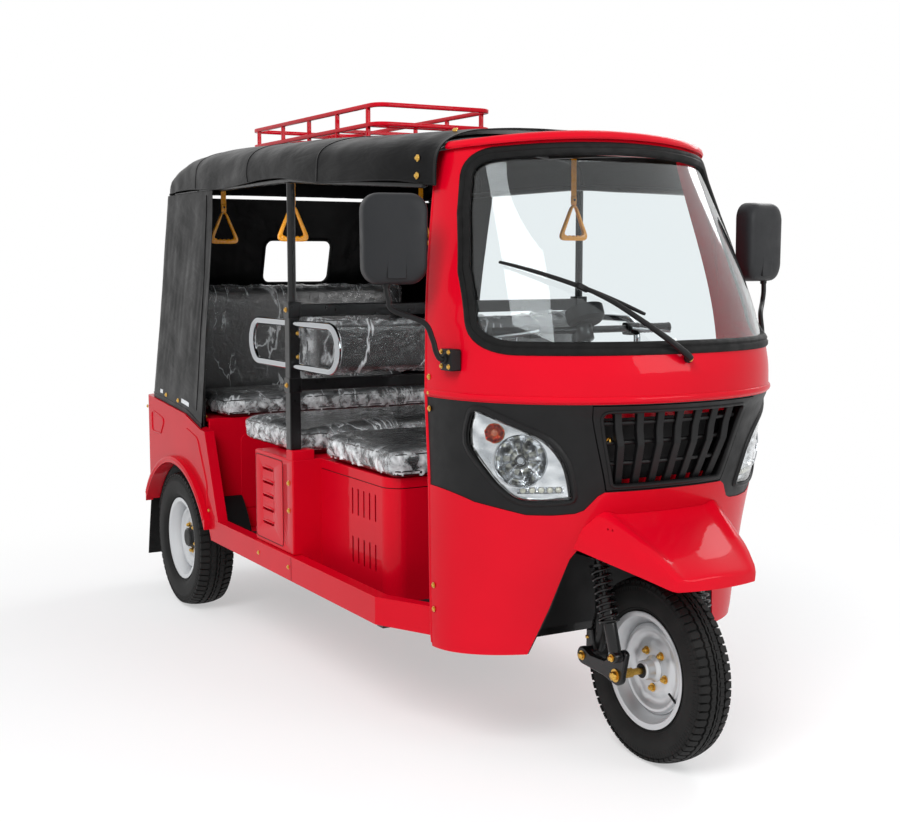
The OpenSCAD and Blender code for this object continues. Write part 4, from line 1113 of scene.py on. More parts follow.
def headlamp():
    # Clear cover, silvered housing with a faceted bowl, bulb and shield, LED row and amber turn lamp
    parts = []
    cover = cabShell("cover", 0.76, panelTop, 0.0005, 0.0025, lens, 24)
    cover = cut(cover, outlinePrism(lampShape(-0.0015, 3), high=frontY + 0.3), operation="INTERSECT")
    parts.append(fieldNormals(cover, cabField))
    housing = cabShell("housing", 0.76, panelTop, 0.011, lamps["depth"], housingSilver, 24)
    housing = cut(housing, outlinePrism(lampShape(-0.0025, 3), high=frontY + 0.3), operation="INTERSECT")
    facing = Vector((0.5, -0.86, 0.05)).normalized()
    side = facing.orthogonal().normalized()
    x, z = lamps["bowlAt"]
    centre = onCab(x, z, -0.019)
    r = lamps["bowlRadius"]
    room = [(0.0, -0.046), (r * 0.7, -0.038), (r + 0.002, -0.002), (r + 0.003, 0.05), (0, 0.05)]
    housing = cut(housing, lathe("tool", room, centre, facing, sides=48, closed=False))
    slope = lambda t: (0.410 - 0.083 * t, 0.800 + 0.002 * t)
    trough = [onCab(*slope(t), -0.013) for t in (0, 0.25, 0.5, 0.75, 1)]
    housing = cut(housing, tube("tool", [trough[0] * 1.6 - trough[1] * 0.6] + trough
                                + [trough[-1] * 1.6 - trough[-2] * 0.6], 0.0102, None, 16))
    mark = onCab(0.478, 0.957, -0.015)
    housing = cut(housing, lathe("tool", [(0.0, -0.034), (0.02, -0.028), (0.0285, 0.002), (0.0285, 0.03),
                                          (0, 0.03)], mark, facing, sides=24, closed=False))
    tidy(housing, 30)
    parts.append(housing)
    dish = [(0.013, -0.042), (0.03, -0.038), (r * 0.55, -0.032), (r * 0.8, -0.019), (r, 0.000),
            (r + 0.0015, 0.002), (r + 0.002, -0.001), (r * 0.83, -0.023), (0.032, -0.042), (0.013, -0.046)]
    parts.append(lathe("dish", dish, centre, facing, bowl, 9, angle=8))
    parts.append(lathe("bezel", [(r - 0.001, 0.0), (r + 0.0045, 0.0), (r + 0.005, 0.003),
                                 (r + 0.001, 0.004), (r - 0.001, 0.002)], centre, facing, chrome, 56))
    parts.append(lathe("bulb", [(0.0, -0.04), (0.0075, -0.04), (0.0085, -0.014), (0.006, -0.006),
                                (0.0, -0.004)], centre, facing, led, 20, closed=False))
    parts.append(lathe("shield", [(0.0, 0.0), (0.009, -0.001), (0.013, -0.006), (0.014, -0.015),
                                  (0.012, -0.015), (0.011, -0.007), (0.0, -0.003)], centre + facing * 0.001,
                       facing, chrome, 32, closed=False))
    parts.append(ring(centre - facing * 0.003, facing, 0.0145, 0.0015, plastic, 28))
    for k in range(3):
        out = Matrix.Rotation(math.radians(90 + 120 * k), 3, facing) @ side
        parts.append(tube("strut", [centre - facing * 0.008 + out * 0.013,
                                    centre - facing * 0.024 + out * 0.042], 0.0016, chrome, 8))
    for p in trough:
        parts.append(lathe("led", [(0.0, -0.008), (0.007, -0.008), (0.0085, -0.001), (0.0072, 0.0035),
                                   (0.004, 0.006), (0.0, 0.007)], p, facing, led, 20, closed=False))
        parts.append(ring(p + facing * 0.0005, facing, 0.0094, 0.0013, chrome, 20))
    parts.append(lathe("turnDish", [(0.006, -0.03), (0.019, -0.026), (0.0275, 0.0), (0.0287, 0.0),
                                    (0.02, -0.029), (0.006, -0.033)], mark, facing, amberBowl, 7, angle=8))
    parts.append(lathe("turnBulb", [(0.0, -0.026), (0.008, -0.025), (0.0105, -0.012), (0.008, -0.004),
                                    (0.0, -0.001)], mark, facing, amber, 20, closed=False))
    for k in range(7):  # flutes down the outer edge
        t = k / 6
        low = onCab(0.496 - 0.012 * t - 0.02 * t * t, 0.925 - 0.075 * t, -0.0105)
        parts.append(tube("flute", [low, low + Vector((-0.018, 0.004, 0.003))], 0.0016, bowl, 6))
    parts.append(followCab("rim", lampShape(0.008, 4), [(-0.0075, -0.004), (-0.006, 0.003),
                                                        (-0.0015, 0.0055), (0.004, 0.004), (0.0085, -0.001),
                                                        (0.0085, -0.004)], plastic))
    return join("lamp", parts)


place(both("headlampPair", [headlamp()]), "body", "headlamps", slot="lamp_lens")
print("cab")

# ---- Front fender ----

fender = {"front": -halfLength, "back": frontY + 0.06, "thick": 0.003, "lip": 0.028, "corner": 0.045}


def fenderRing(share, inset):
    # Half section, from the lower edge over the ridge to the middle of the shallow pan
    wide = 0.141 + (0.262 - 0.141) * share - inset
    ridge = 0.126 + (0.209 - 0.126) * share - inset * 0.7
    low = 0.556 + 0.078 * share
    top = 0.588 + 0.184 * share**0.88 - inset
    sunk = 0.0015 + 0.0065 * min(1, share * 3)
    wall = 0.026 + 0.014 * share
    bulge = 0.004 + 0.012 * share
    return [(wide, low), (wide + (ridge + 0.014 - wide) * 0.5 + bulge, low + (top - low) * 0.5),
            (ridge + 0.0135 + bulge * 0.35, low + (top - low) * 0.88), (ridge + 0.006, top - 0.0035),
            (ridge, top - 0.0006), (ridge - 0.007, top), (ridge - 0.013, top - 0.0016),
            (ridge - wall + 0.004, top - sunk), (ridge - wall - 0.012, top - sunk),
            (ridge * 0.4, top - sunk + 0.003), (0, top - sunk + 0.004)]


def fenderRows(inset):
    rows = []
    for share in [0, 0.004, 0.012, 0.03, 0.06, 0.1, 0.15, 0.2, 0.3, 0.4, 0.55, 0.7, 0.85, 1.0]:
        y = fender["front"] + (fender["back"] - fender["front"]) * share + inset
        round_ = (1 - min(1, share / 0.06)) ** 2
        half = []
        for i, (x, z) in enumerate(fenderRing(share, inset)):
            drop = 0.0045 * (1 - min(1, share / 0.012)) ** 2 if i > 1 else 0
            bow = 0.020 * (x / 0.141) ** 2 * (1 - min(1, share / 0.25))
            half.append((x * (1 - 0.05 * round_), y + bow, z - drop))
        sill = []  # lower edge, bowed like the crest, one point below each of the section's
        for k, (x, yy, _) in enumerate(half[1:], 1):
            sill.append((min(x, half[0][0] - 0.001 * k), yy, half[0][2]))
        rows.append([(-x, yy, z) for x, yy, z in half] + half[::-1][1:] + sill
                    + [(-x, yy, z) for x, yy, z in sill[::-1][1:]])
    return np.array(rows)


def fenderSolid(name, rows, material):
    # Closed solid whose front is filled by upright strips, so that it keeps the bow
    m, n = rows.shape[:2]
    faces = quads(m, n)
    faces.append(tuple(range((m - 1) * n, m * n)))
    faces += [(0, 1, n - 1), (19, 20, 21)] + [(i, i + 1, n - 1 - i, n - i) for i in range(1, 19)]
    return addMesh(name, rows.reshape(-1, 3), faces, material, 30)


outer = fenderRows(0.0)
inner = fenderRows(fender["thick"])
inner[:, :, 2] -= 0.001
inner[:, [0, *range(20, 40)], 2] -= 0.02
inner[0, :, 1] += 0.001
fenderBody = cut(fenderSolid("fender", outer, red), fenderSolid("tool", inner, None))
core = cabShell("tool", 0.4, 0.9, -0.0005, 0.3, None, 30)
fenderBody = cut(fenderBody, core)
holeSpots = [(-0.203, frontY - 0.039, 0.692), (-0.2015, frontY - 0.052, 0.6955)]
for spot in holeSpots:
    fenderBody = cut(fenderBody, rod("tool", Vector(spot) + Vector((0.05, 0, -0.05)),
                                     Vector(spot) + Vector((-0.06, 0, 0.06)), 0.003, None, 10))
tidy(fenderBody, 32)
place(fenderBody, "body", "front_fender", slot="red_paint")

# ---- Wheels ----

wheelSizes = {"beadRadius": 0.152, "flange": 0.016, "grooveDepth": 0.007, "nutCircle": 0.056}


def treadBlocks(centre, radius, width, count):
    # Zigzag ribs and shoulder lugs, one pitch at a time
    verts, faces = [], []
    crown = lambda v: radius - 0.30 * width * abs(v) ** 2.4 * 1.6

    def put(u, v, depth, step):
        angle = 2 * math.pi * (step + u) / count
        r = crown(v) - depth
        return (centre[0] + v * width, centre[1] + r * math.cos(angle), centre[2] + r * math.sin(angle))

    def addBlock(ring, step):
        start = len(verts)
        n = len(ring)
        mid = (sum(p[0] for p in ring) / n, sum(p[1] for p in ring) / n)
        shrink = lambda p, s: (mid[0] + (p[0] - mid[0]) * s, mid[1] + (p[1] - mid[1]) * s)
        for depth, size in ((wheelSizes["grooveDepth"] + 0.001, 1.06), (0.0008, 1.0), (0.0, 0.93)):
            verts.extend(put(*shrink(p, size), depth, step) for p in ring)
        for layer in range(2):
            faces.extend((start + layer * n + i, start + layer * n + (i + 1) % n,
                          start + (layer + 1) * n + (i + 1) % n, start + (layer + 1) * n + i)
                         for i in range(n))
        faces.append(tuple(start + 2 * n + i for i in range(n)))

    for step in range(count):
        for side in (-1, 1):
            lug = [(0.06, 0.27), (0.30, 0.235), (0.56, 0.235), (0.84, 0.27), (0.86, 0.36), (0.84, 0.475),
                   (0.10, 0.475), (0.04, 0.36)]
            addBlock([(u, side * v) for u, v in lug][::side], step)
            rib = [(0.0, 0.05), (0.5, 0.075), (0.98, 0.05), (0.98, 0.205), (0.5, 0.175), (0.0, 0.205)]
            addBlock([(u, side * v) for u, v in rib][::side], step + 0.5 * (side > 0))
        addBlock([(0.0, -0.025), (0.5, 0.0), (0.995, -0.025), (0.995, 0.025), (0.5, 0.05), (0.0, 0.025)],
                 step + 0.25)
    return addMesh("tread", verts, faces, tyreMaterial, 25)


def tyreWithTread(name, centre, radius, width, count):
    bead = wheelSizes["beadRadius"]
    lip = bead + wheelSizes["flange"]
    deep = wheelSizes["grooveDepth"]
    half = [(bead + 0.001, 0.34), (bead + 0.004, 0.358), (lip + 0.001, 0.362), (lip + 0.004, 0.385),
            (lip + 0.010, 0.43), (lip + 0.012, 0.425), (lip + 0.022, 0.472), (lip + 0.036, 0.496),
            ((lip + radius) / 2 + 0.012, 0.499), (radius - 0.036, 0.497), (radius - 0.028, 0.486),
            (radius - 0.026, 0.489), (radius - 0.02, 0.468), (radius - 0.016, 0.44),
            (radius - deep - 0.004, 0.33), (radius - deep, 0.15)]
    profile = [(r, -width * a) for r, a in half] + [(r, width * a) for r, a in half[::-1]]
    carcass = lathe("carcass", profile, centre, (1, 0, 0), tyreMaterial, 120, angle=22)
    ticks = []
    for k in range(count * 2):  # fine ribs that run down the shoulders
        angle = math.pi * k / count
        for side in (-1, 1):
            at = [Vector((centre[0] + side * width * a, centre[1] + r * math.cos(angle),
                          centre[2] + r * math.sin(angle))) for r, a in ((radius - 0.019, 0.466),
                                                                         (radius - 0.029, 0.487),
                                                                         (radius - 0.04, 0.496))]
            ticks.append(at)
    verts, faces = [], []
    for at in ticks:
        start = len(verts)
        tangent = (at[1] - Vector(centre)).cross(Vector((1, 0, 0))).normalized() * 0.0011
        raised = Vector((math.copysign(0.0012, at[0].x - centre[0]), 0, 0))
        for p in at:
            verts.extend([p - tangent, p + raised, p + tangent])
        for i in range(2):
            a = start + 3 * i
            faces.extend([(a, a + 1, a + 4, a + 3), (a + 1, a + 2, a + 5, a + 4)])
    ribs = addMesh("ribs", verts, faces, tyreMaterial)
    return join(name, [carcass, treadBlocks(centre, radius, width, count), ribs])


def wheelDisc(centre, facing, width, hubRadius, reach, hubMaterial):
    # Pressed steel wheel: barrel, embossed disc, hub, nuts and valve on the side it faces
    bead = wheelSizes["beadRadius"]
    lip = bead + wheelSizes["flange"]
    f = 0.36 * width
    facing = Vector(facing)
    barrel = [(bead - 0.0005, -f + 0.004), (bead - 0.0005, f - 0.004), (bead - 0.0005, f - 0.001),
              (lip - 0.004, f + 0.0015), (lip, f + 0.0035), (lip + 0.0005, f + 0.006),
              (lip - 0.003, f + 0.0065), (bead + 0.001, f + 0.004), (bead - 0.006, f - 0.004),
              (bead - 0.012, f - 0.016), (bead - 0.016, f - 0.024), (bead - 0.022, 0.006),
              (bead - 0.022, -0.006), (bead - 0.016, -f + 0.024), (bead - 0.012, -f + 0.016),
              (bead - 0.006, -f + 0.004), (bead + 0.001, -f - 0.004), (lip - 0.003, -f - 0.0065),
              (lip + 0.0005, -f - 0.006), (lip, -f - 0.0035), (lip - 0.004, -f - 0.0015),
              (bead - 0.0005, -f + 0.001)]
    parts = [lathe("barrel", barrel, centre, facing, silver, 96, angle=28)]
    profile = curve((hubRadius, 0.011), (0.044, 0.011), (0.066, 0.012), (0.078, 0.009), (0.09, 0.004),
                    (0.104, 0.009), (0.115, 0.02), (0.122, 0.021), (bead - 0.0235, 0.012))
    radii = np.linspace(hubRadius - 0.002, bead - 0.0215, 34)
    side = facing.orthogonal().normalized()
    up = facing.cross(side)
    rows = []
    sides = 120
    for k in range(sides):
        angle = 2 * math.pi * k / sides
        out = spoke(side, up, angle)
        emboss = max(0.0, math.cos(5 * angle)) ** 2
        row = []
        for r in radii:
            lift = 0.0035 * emboss * math.exp(-((r - 0.088) / 0.016) ** 2)
            row.append(Vector(centre) + out * float(r) + facing * (float(profile(r)) + lift))
        rows.append(row + [p - facing * 0.005 for p in row[::-1]])
    parts.append(solid("disc", rows, silver, 28, loop=True))
    hub = [(0.0125, reach), (hubRadius - 0.009, reach), (hubRadius - 0.006, reach - 0.004),
           (hubRadius - 0.005, 0.024), (hubRadius - 0.001, 0.018), (hubRadius + 0.004, 0.014),
           (hubRadius + 0.004, -reach * 0.8), (hubRadius - 0.008, -reach), (0.0125, -reach)]
    parts.append(lathe("hub", hub, centre, facing, hubMaterial, 48, angle=28))
    cap = [(0.0, reach + 0.001), (hubRadius - 0.013, reach + 0.001), (hubRadius - 0.012, reach - 0.002),
           (0.0, reach - 0.002)]
    parts.append(lathe("cap", cap, centre, facing, plastic, 32, closed=False))
    for k in range(5):
        angle = 2 * math.pi * (k + 0.35) / 5
        at = Vector(centre) + spoke(side, up, angle) * wheelSizes["nutCircle"] + facing * 0.0115
        parts += boltHead(at, facing, 0.0088, 0.01, gold, 0.0125)
        parts.append(rod("stud", at, at + facing * 0.016, 0.0045, gold, 12, 0.001))
    valveAt = Vector(centre) + spoke(side, up, 0.25) * (bead - 0.03) + facing * 0.02
    inward = (Vector(centre) - valveAt).normalized()
    parts.append(rod("valve", valveAt - inward * 0.012, valveAt + inward * 0.026 + facing * 0.006, 0.0035,
                     soft, 12, 0.001))
    return parts


def wheel(label, body, centre, radius, width, hubRadius, hubReach, hubMaterial, facing, count):
    place(tyreWithTread(label + "Tyre", centre, radius, width, count), body, tyreNodes[body],
          slot="tyre_rubber")
    place(join(label + "Rim", wheelDisc(centre, facing, width, hubRadius, hubReach, hubMaterial)), body,
          tyreNodes[body].replace("tyre", "rim"), slot="silver_paint")


tyreNodes = {"front_wheel": "front_tyre", "rear_wheel_right": "rear_tyre_right",
             "rear_wheel_left": "rear_tyre_left"}
for body, facing in (("front_wheel", -1), ("rear_wheel_right", -1), ("rear_wheel_left", 1)):
    low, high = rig.box(tyreNodes[body])
    middle = (low + high) / 2
    isFront = body == "front_wheel"
    wheel(body.replace("_", " ").title().replace(" ", ""), body, tuple(middle), (high.z - low.z) / 2,
          high.x - low.x, 0.034 if isFront else 0.044, 0.055 if isFront else 0.036, silver if isFront
          else black, (facing, 0, 0), 66 if isFront else 60)

# ---- Front suspension ----

steer = {"wheelRadius": 0.267, "forkX": 0.09, "linkX": 0.128, "linkThick": 0.018, "shockX": 0.165,
         "coilTurns": 8}
axleAt = (frontY, steer["wheelRadius"])
pivotAt = (frontY + 0.163, steer["wheelRadius"] + 0.017)
crownZ = steer["wheelRadius"] + 0.325
headY = lambda z: frontY - 0.06 + z * math.tan(rake)
shockLow = Vector((-steer["shockX"], frontY - 0.026, steer["wheelRadius"] + 0.062))
shockHigh = Vector((-steer["shockX"], frontY + 0.06, crownZ - 0.003))


def forkLeg():
    top = Vector((-steer["forkX"], headY(crownZ), crownZ))
    low = Vector((-steer["forkX"], *pivotAt))
    bend = low.lerp(top, 0.25) + Vector((0, -0.016, 0))
    parts = [tube("leg", smoothPath([low, bend, low.lerp(top, 0.6) + Vector((0, -0.012, 0)), top], 6),
                  0.019, black, 18)]
    x = -steer["linkX"]
    parts.append(lathe("boss", [(0.008, 0.0), (0.022, 0.0), (0.023, 0.002), (0.023, 0.052), (0.008, 0.052)],
                       (x + 0.0015, *pivotAt), (1, 0, 0), black, 32))
    plate = [(pivotAt[0] - 0.022, pivotAt[1] - 0.01), (pivotAt[0] + 0.024, pivotAt[1] - 0.004),
             (pivotAt[0] + 0.022, pivotAt[1] + 0.07), (pivotAt[0] - 0.006, pivotAt[1] + 0.075)]
    parts.append(soften(prism("plate", plate, x + 0.012, x + 0.03, "x", black), 0.003))
    pin = Vector((x - steer["linkThick"] + 0.001, *pivotAt))
    parts += boltHead(pin, (-1, 0, 0), 0.0105, 0.009, gold, 0.014)
    parts.append(soften(block("arm", (-steer["shockX"] - 0.022, frontY + 0.04, crownZ),
                              (-steer["forkX"], headY(crownZ), crownZ + 0.016), black), 0.003))
    parts += boltHead(Vector((x - 0.002, pivotAt[0] - 0.006, pivotAt[1] + 0.055)), (-1, 0, 0), 0.006, 0.006,
                      gold)
    return parts


crown = soften(block("crown", (-steer["forkX"] - 0.022, headY(crownZ) - 0.032, crownZ - 0.016),
                     (steer["forkX"] + 0.022, headY(crownZ) + 0.028, crownZ + 0.016), black), 0.005)
lowZ, highZ = crownZ - 0.01, 1.195
stem = rod("stem", (0, headY(lowZ), lowZ), (0, headY(highZ), highZ), 0.0175, black, 24)
place(join("forkAndCrown", [crown, stem, both("legs", forkLeg())]), "steering", "front_fork",
      slot="black_paint")


def linkArm():
    x0 = -steer["linkX"] - steer["linkThick"]
    outline = []
    for k in range(12):
        a = math.pi * (-0.5 + k / 11 * 1.15)
        outline.append((pivotAt[0] + 0.026 * math.cos(a), pivotAt[1] + 0.026 * math.sin(a)))
    outline += [(pivotAt[0] - 0.04, pivotAt[1] + 0.012), (frontY + 0.055, axleAt[1] + 0.03),
                (shockLow.y + 0.024, shockLow.z + 0.006)]
    for k in range(8):
        a = math.pi * (0.15 + 0.75 * k / 7)
        outline.append((shockLow.y + 0.02 * math.cos(a), shockLow.z + 0.016 * math.sin(a)))
    for k in range(12):
        a = math.pi * (0.98 + 0.6 * k / 11)
        outline.append((axleAt[0] + 0.029 * math.cos(a), axleAt[1] + 0.029 * math.sin(a)))
    outline += [(frontY + 0.06, axleAt[1] - 0.016)]
    parts = [soften(prism("arm", outline, x0, x0 + steer["linkThick"] - 0.0005, "x", black), 0.004, 3)]
    parts += boltHead(Vector((x0, *axleAt)), (-1, 0, 0), 0.0135, 0.012, gold, 0.019)
    parts.append(lathe("spacer", [(0.0105, 0.0), (0.0135, 0.0), (0.0135, 0.038), (0.0105, 0.038)],
                       (x0 + steer["linkThick"], *axleAt), (1, 0, 0), gold, 24))
    return parts


axle = rod("axle", (-0.147, *axleAt), (0.147, *axleAt), 0.0098, gold, 24)
place(join("linkArms", [axle, both("arms", linkArm())]), "steering", "suspension_links", slot="cast_metal")


def shockWithSpring():
    ahead = (shockHigh - shockLow).normalized()
    length = (shockHigh - shockLow).length
    parts = [lathe("eye", [(0.007, -0.014), (0.0155, -0.014), (0.0165, -0.012), (0.0165, 0.012),
                           (0.0155, 0.014), (0.007, 0.014)], shockLow, (1, 0, 0), black, 28)]
    low = 0.098
    body = [(0.0, 0.012), (0.014, 0.012), (0.0185, 0.02), (0.0185, low - 0.004), (0.029, low),
            (0.030, low + 0.004), (0.0165, low + 0.006), (0.0165, length * 0.62), (0.008, length * 0.62),
            (0.008, length - 0.02), (0.029, length - 0.02), (0.029, length - 0.013),
            (0.012, length - 0.011), (0.012, length), (0.0, length)]
    parts.append(lathe("damper", body, shockLow, ahead, black, 32, closed=False))
    side, up = frames([shockLow, shockHigh])[0]
    turns, start, end = steer["coilTurns"], low + 0.006, length - 0.022
    path = []
    for k in range(turns * 20 + 1):
        t = k / (turns * 20)
        a = 2 * math.pi * turns * t
        path.append(shockLow + ahead * (start + (end - start) * t) + spoke(side, up, a) * 0.0255)
    parts.append(tube("coil", path, 0.0042, black, 8))
    parts += boltHead(shockLow + Vector((-0.015, 0, 0)), (-1, 0, 0), 0.008, 0.008, gold, 0.011)
    return parts


place(both("frontShocks", shockWithSpring()), "steering", "front_shocks", slot="black_paint")
print("running gear")

# ---- Wiper, mirrors and dashboard ----

wiperSpots = {"pivot": (-0.013, beltZ + 0.108), "bladeLow": (-0.122, beltZ + 0.2225),
              "bladeHigh": (-0.434, beltZ + 0.3625)}


def wiperParts():
    (x0, z0), (xa, za), (xb, zb) = wiperSpots.values()
    at = lambda x, z, out: onCab(x, z) - Vector((0, out, 0))
    parts = [rod("boss", at(x0, z0, 0.004), at(x0, z0, 0.019), 0.0125, plastic, 28, 0.003),
             rod("cap", at(x0, z0, 0.018), at(x0, z0, 0.0235), 0.009, gold, 24, 0.002)]
    reach = [(x0, z0, 0.0195), (-0.035, z0 + 0.018, 0.027), (-0.08, z0 + 0.05, 0.031),
             (-0.15, z0 + 0.1, 0.031), (-0.21, z0 + 0.144, 0.029), (-0.255, z0 + 0.172, 0.025),
             (-0.27, z0 + 0.182, 0.0235)]
    path = smoothPath([at(*p) for p in reach], 6)
    parts.append(tube("arm", path, 0.0055, plastic, 10, radii=[0.0105 - 0.0055 * i / len(path)
                                                               for i in range(len(path))]))
    spring = path[8:24]
    parts.append(tube("spring", [p - Vector((0, 0.004, 0)) for p in spring], 0.004, plastic, 8))
    blade = [(xa + (xb - xa) * t, za + (zb - za) * t) for t in np.linspace(0, 1, 25)]
    along = lambda out, lift: [at(x, z + lift, out) for x, z in blade]
    parts.append(tube("rubber", along(0.0055, 0.0), 0.0038, soft, 8))
    spine = [p - Vector((0, 0.009 * math.sin(math.pi * i / 24), 0)) for i, p in enumerate(along(0.0115, 0.0))]
    parts.append(tube("spine", spine, 0.0042, plastic, 8,
                      radii=[0.0042 + 0.0024 * math.sin(math.pi * i / 24) for i in range(25)]))
    for k in (3, 9, 15, 21):
        parts.append(tube("claw", [spine[k], along(0.0055, 0)[k]], 0.0035, plastic, 6))
    parts.append(soften(block("clip", (-0.018, -0.0065, -0.008), (0.018, 0.0065, 0.008), plastic), 0.0025))
    tilt = math.atan2(zb - za, xa - xb)
    parts[-1].data.transform(Matrix.Translation(spine[12]) @ Matrix.Rotation(tilt, 4, "Y"))
    return parts


place(join("wiperArm", wiperParts()), "body", "wiper", slot="black_plastic")

mirrorSizes = {"at": Vector((0.662, frontY + 0.345, 1.486)), "wide": 0.19, "tall": 0.25, "round": 0.05,
               "turn": 14}


def roundedRect(wide, tall, radius, parts=6):
    x, z, r = wide / 2, tall / 2, min(radius, wide / 2.01, tall / 2.01)
    ring = []
    for cx, cz, start in ((x - r, z - r, 0), (-x + r, z - r, 90), (-x + r, -z + r, 180),
                          (x - r, -z + r, 270)):
        ring += [(cx + r * math.cos(math.radians(start + 90 * k / parts)),
                  cz + r * math.sin(math.radians(start + 90 * k / parts))) for k in range(parts + 1)]
    return ring


def mirrorParts():
    # Left mirror: bowl-shaped housing, glass on its rear face, cover plate, bent arm and bracket
    m = mirrorSizes
    outline = roundedRect(m["wide"], m["tall"], m["round"], 8)
    taper = lambda x, z: x * (0.97 + 0.10 * z)
    rings = [[(taper(x, z) * s, y, z * s) for x, z in outline] for y,
             s in ((0.022, 0.90), (0.028, 0.95), (0.026, 0.985), (0.02, 1.0), (-0.008, 0.998),
                   (-0.018, 0.985), (-0.025, 0.955), (-0.0295, 0.9), (-0.0325, 0.82), (-0.0345, 0.7),
                   (-0.0358, 0.5), (-0.0365, 0.25))]
    parts = [solid("housing", rings, darkGrey, 35)]
    parts.append(solid("glass", [[(taper(x, z) * 0.9, y, z * 0.9) for x, z in outline]
                                 for y in (0.0215, 0.0232)], mirrorFace, 30))
    cover = [(-0.026, -0.108), (0.026, -0.108), (0.026, -0.048), (0.021, -0.042), (-0.021, -0.042),
             (-0.026, -0.048)]
    parts.append(soften(prism("cover", cover, -0.0362, -0.02, "y", darkGrey), 0.0012))
    seamPath = [(x * 1.03, -0.0349 + 0.0012, z) for x, z in cover]
    parts.append(tube("seam", roundCorners(seamPath, 0.006, True), 0.0016, plastic, 6, True))
    turned = Matrix.Translation(m["at"]) @ Matrix.Rotation(math.radians(m["turn"]), 4, "Z")
    for part in parts:
        part.data.transform(turned)
    foot = Vector((cabSide(beltZ).item() + 0.007, frontY + 0.236, 1.158))
    bend = [foot, foot + Vector((0.02, 0.001, 0.002)), foot + Vector((0.031, 0.004, 0.022)),
            foot + Vector((0.037, 0.012, 0.055)), foot + Vector((0.052, 0.036, 0.10)),
            m["at"] + Vector((0.01, -0.012, -0.195)), m["at"] + Vector((0.02, -0.006, -0.165)),
            m["at"] + Vector((0.024, -0.002, -0.145)), m["at"] + Vector((0.024, 0, -0.115))]
    parts.append(tube("arm", smoothPath(bend, 7), 0.0078, plastic, 14))
    parts.append(rod("ball", m["at"] + Vector((0.024, 0, -0.135)), m["at"] + Vector((0.024, 0, -0.118)),
                     0.0105, plastic, 20, 0.003))
    base = block("base", (foot.x - 0.03, frontY + 0.206, 1.126), (foot.x + 0.005, frontY + 0.266, 1.186),
                 plastic, 0.004)
    parts.append(cut(base, cabShell("tool", 1.08, 1.24, -0.0003, 0.3, None, 8)))
    parts.append(rod("collar", foot + Vector((-0.004, 0, 0)), foot + Vector((0.012, 0, 0)), 0.0135, plastic,
                     20, 0.003))
    for dy, dz in ((-0.02, -0.02), (0.02, -0.02), (-0.02, 0.02), (0.02, 0.02)):
        parts += boltHead(foot + Vector((0.0045, dy, dz)), (1, 0, 0), 0.0052, 0.0045, gold, 0.0072)
    return parts


place(both("mirrorPair", mirrorParts()), "body", "mirrors", slot="black_plastic")


barZ = 1.217
barY = headY(1.205) + 0.006


def handlebarParts():
    parts = [tube("bar", roundCorners([(-0.21, barY, barZ), (0.21, barY, barZ)], 0.02), 0.0108, black, 16)]
    parts.append(rod("cover", (0, headY(1.183), 1.183), (0, headY(1.243), 1.243), 0.030, black, 28, 0.004))
    dialAxis = Vector((0, 0.42, 0.91)).normalized()
    dialAt = Vector((0, barY - 0.024, 1.2375))
    parts.append(lathe("cup", [(0.0, 0.0), (0.045, 0.0), (0.056, 0.01), (0.0585, 0.02), (0.0585, 0.0465),
                               (0.055, 0.0475), (0.053, 0.044), (0.0, 0.044)], dialAt, dialAxis, plastic,
                       48, closed=False))
    parts.append(lathe("face", [(0.0, 0.0445), (0.0525, 0.0445)], dialAt, dialAxis, dial, 48, closed=False))
    parts.append(ring(dialAt + dialAxis * 0.0466, dialAxis, 0.0545, 0.0016, chrome, 48))
    for side in (-1, 1):
        profile = [(0.0152 - 0.0016 * (k % 2), 0.004 + 0.117 * k / 17) for k in range(18)]
        grip = [(0.0, 0.0), (0.0157, 0.0), (0.0158, 0.003)] + profile + [(0.0159, 0.124), (0.0, 0.1255)]
        parts.append(lathe("grip", grip, (side * 0.205, barY, barZ), (side, 0, 0), soft, 28, closed=False))
        x0, x1 = sorted((side * 0.162, side * 0.204))
        switch = block("switch", (x0, barY - 0.022, barZ - 0.02), (x1, barY + 0.021, barZ + 0.018), plastic)
        parts.append(soften(switch, 0.006, 3))
        lever = [(side * 0.172, barY - 0.018, barZ + 0.002), (side * 0.215, barY - 0.02, barZ - 0.004),
                 (side * 0.27, barY - 0.02, barZ - 0.008), (side * 0.325, barY - 0.014, barZ - 0.013)]
        path = smoothPath(lever, 6)
        parts.append(tube("lever", path, 0.0045, silver, 10, radii=[0.0062 - 0.0026 * i / len(path)
                                                                    for i in range(len(path))]))
    return parts


place(join("handlebarSet", handlebarParts()), "steering", "handlebar", slot="black_paint")
print("fittings")

# ---- Hood frame and roof rack ----

hoodSizes = {"thick": 0.002, "tube": 0.011, "gap": 0.026, "hoops": [frontY + 0.494, postY, tailY - 0.8]}


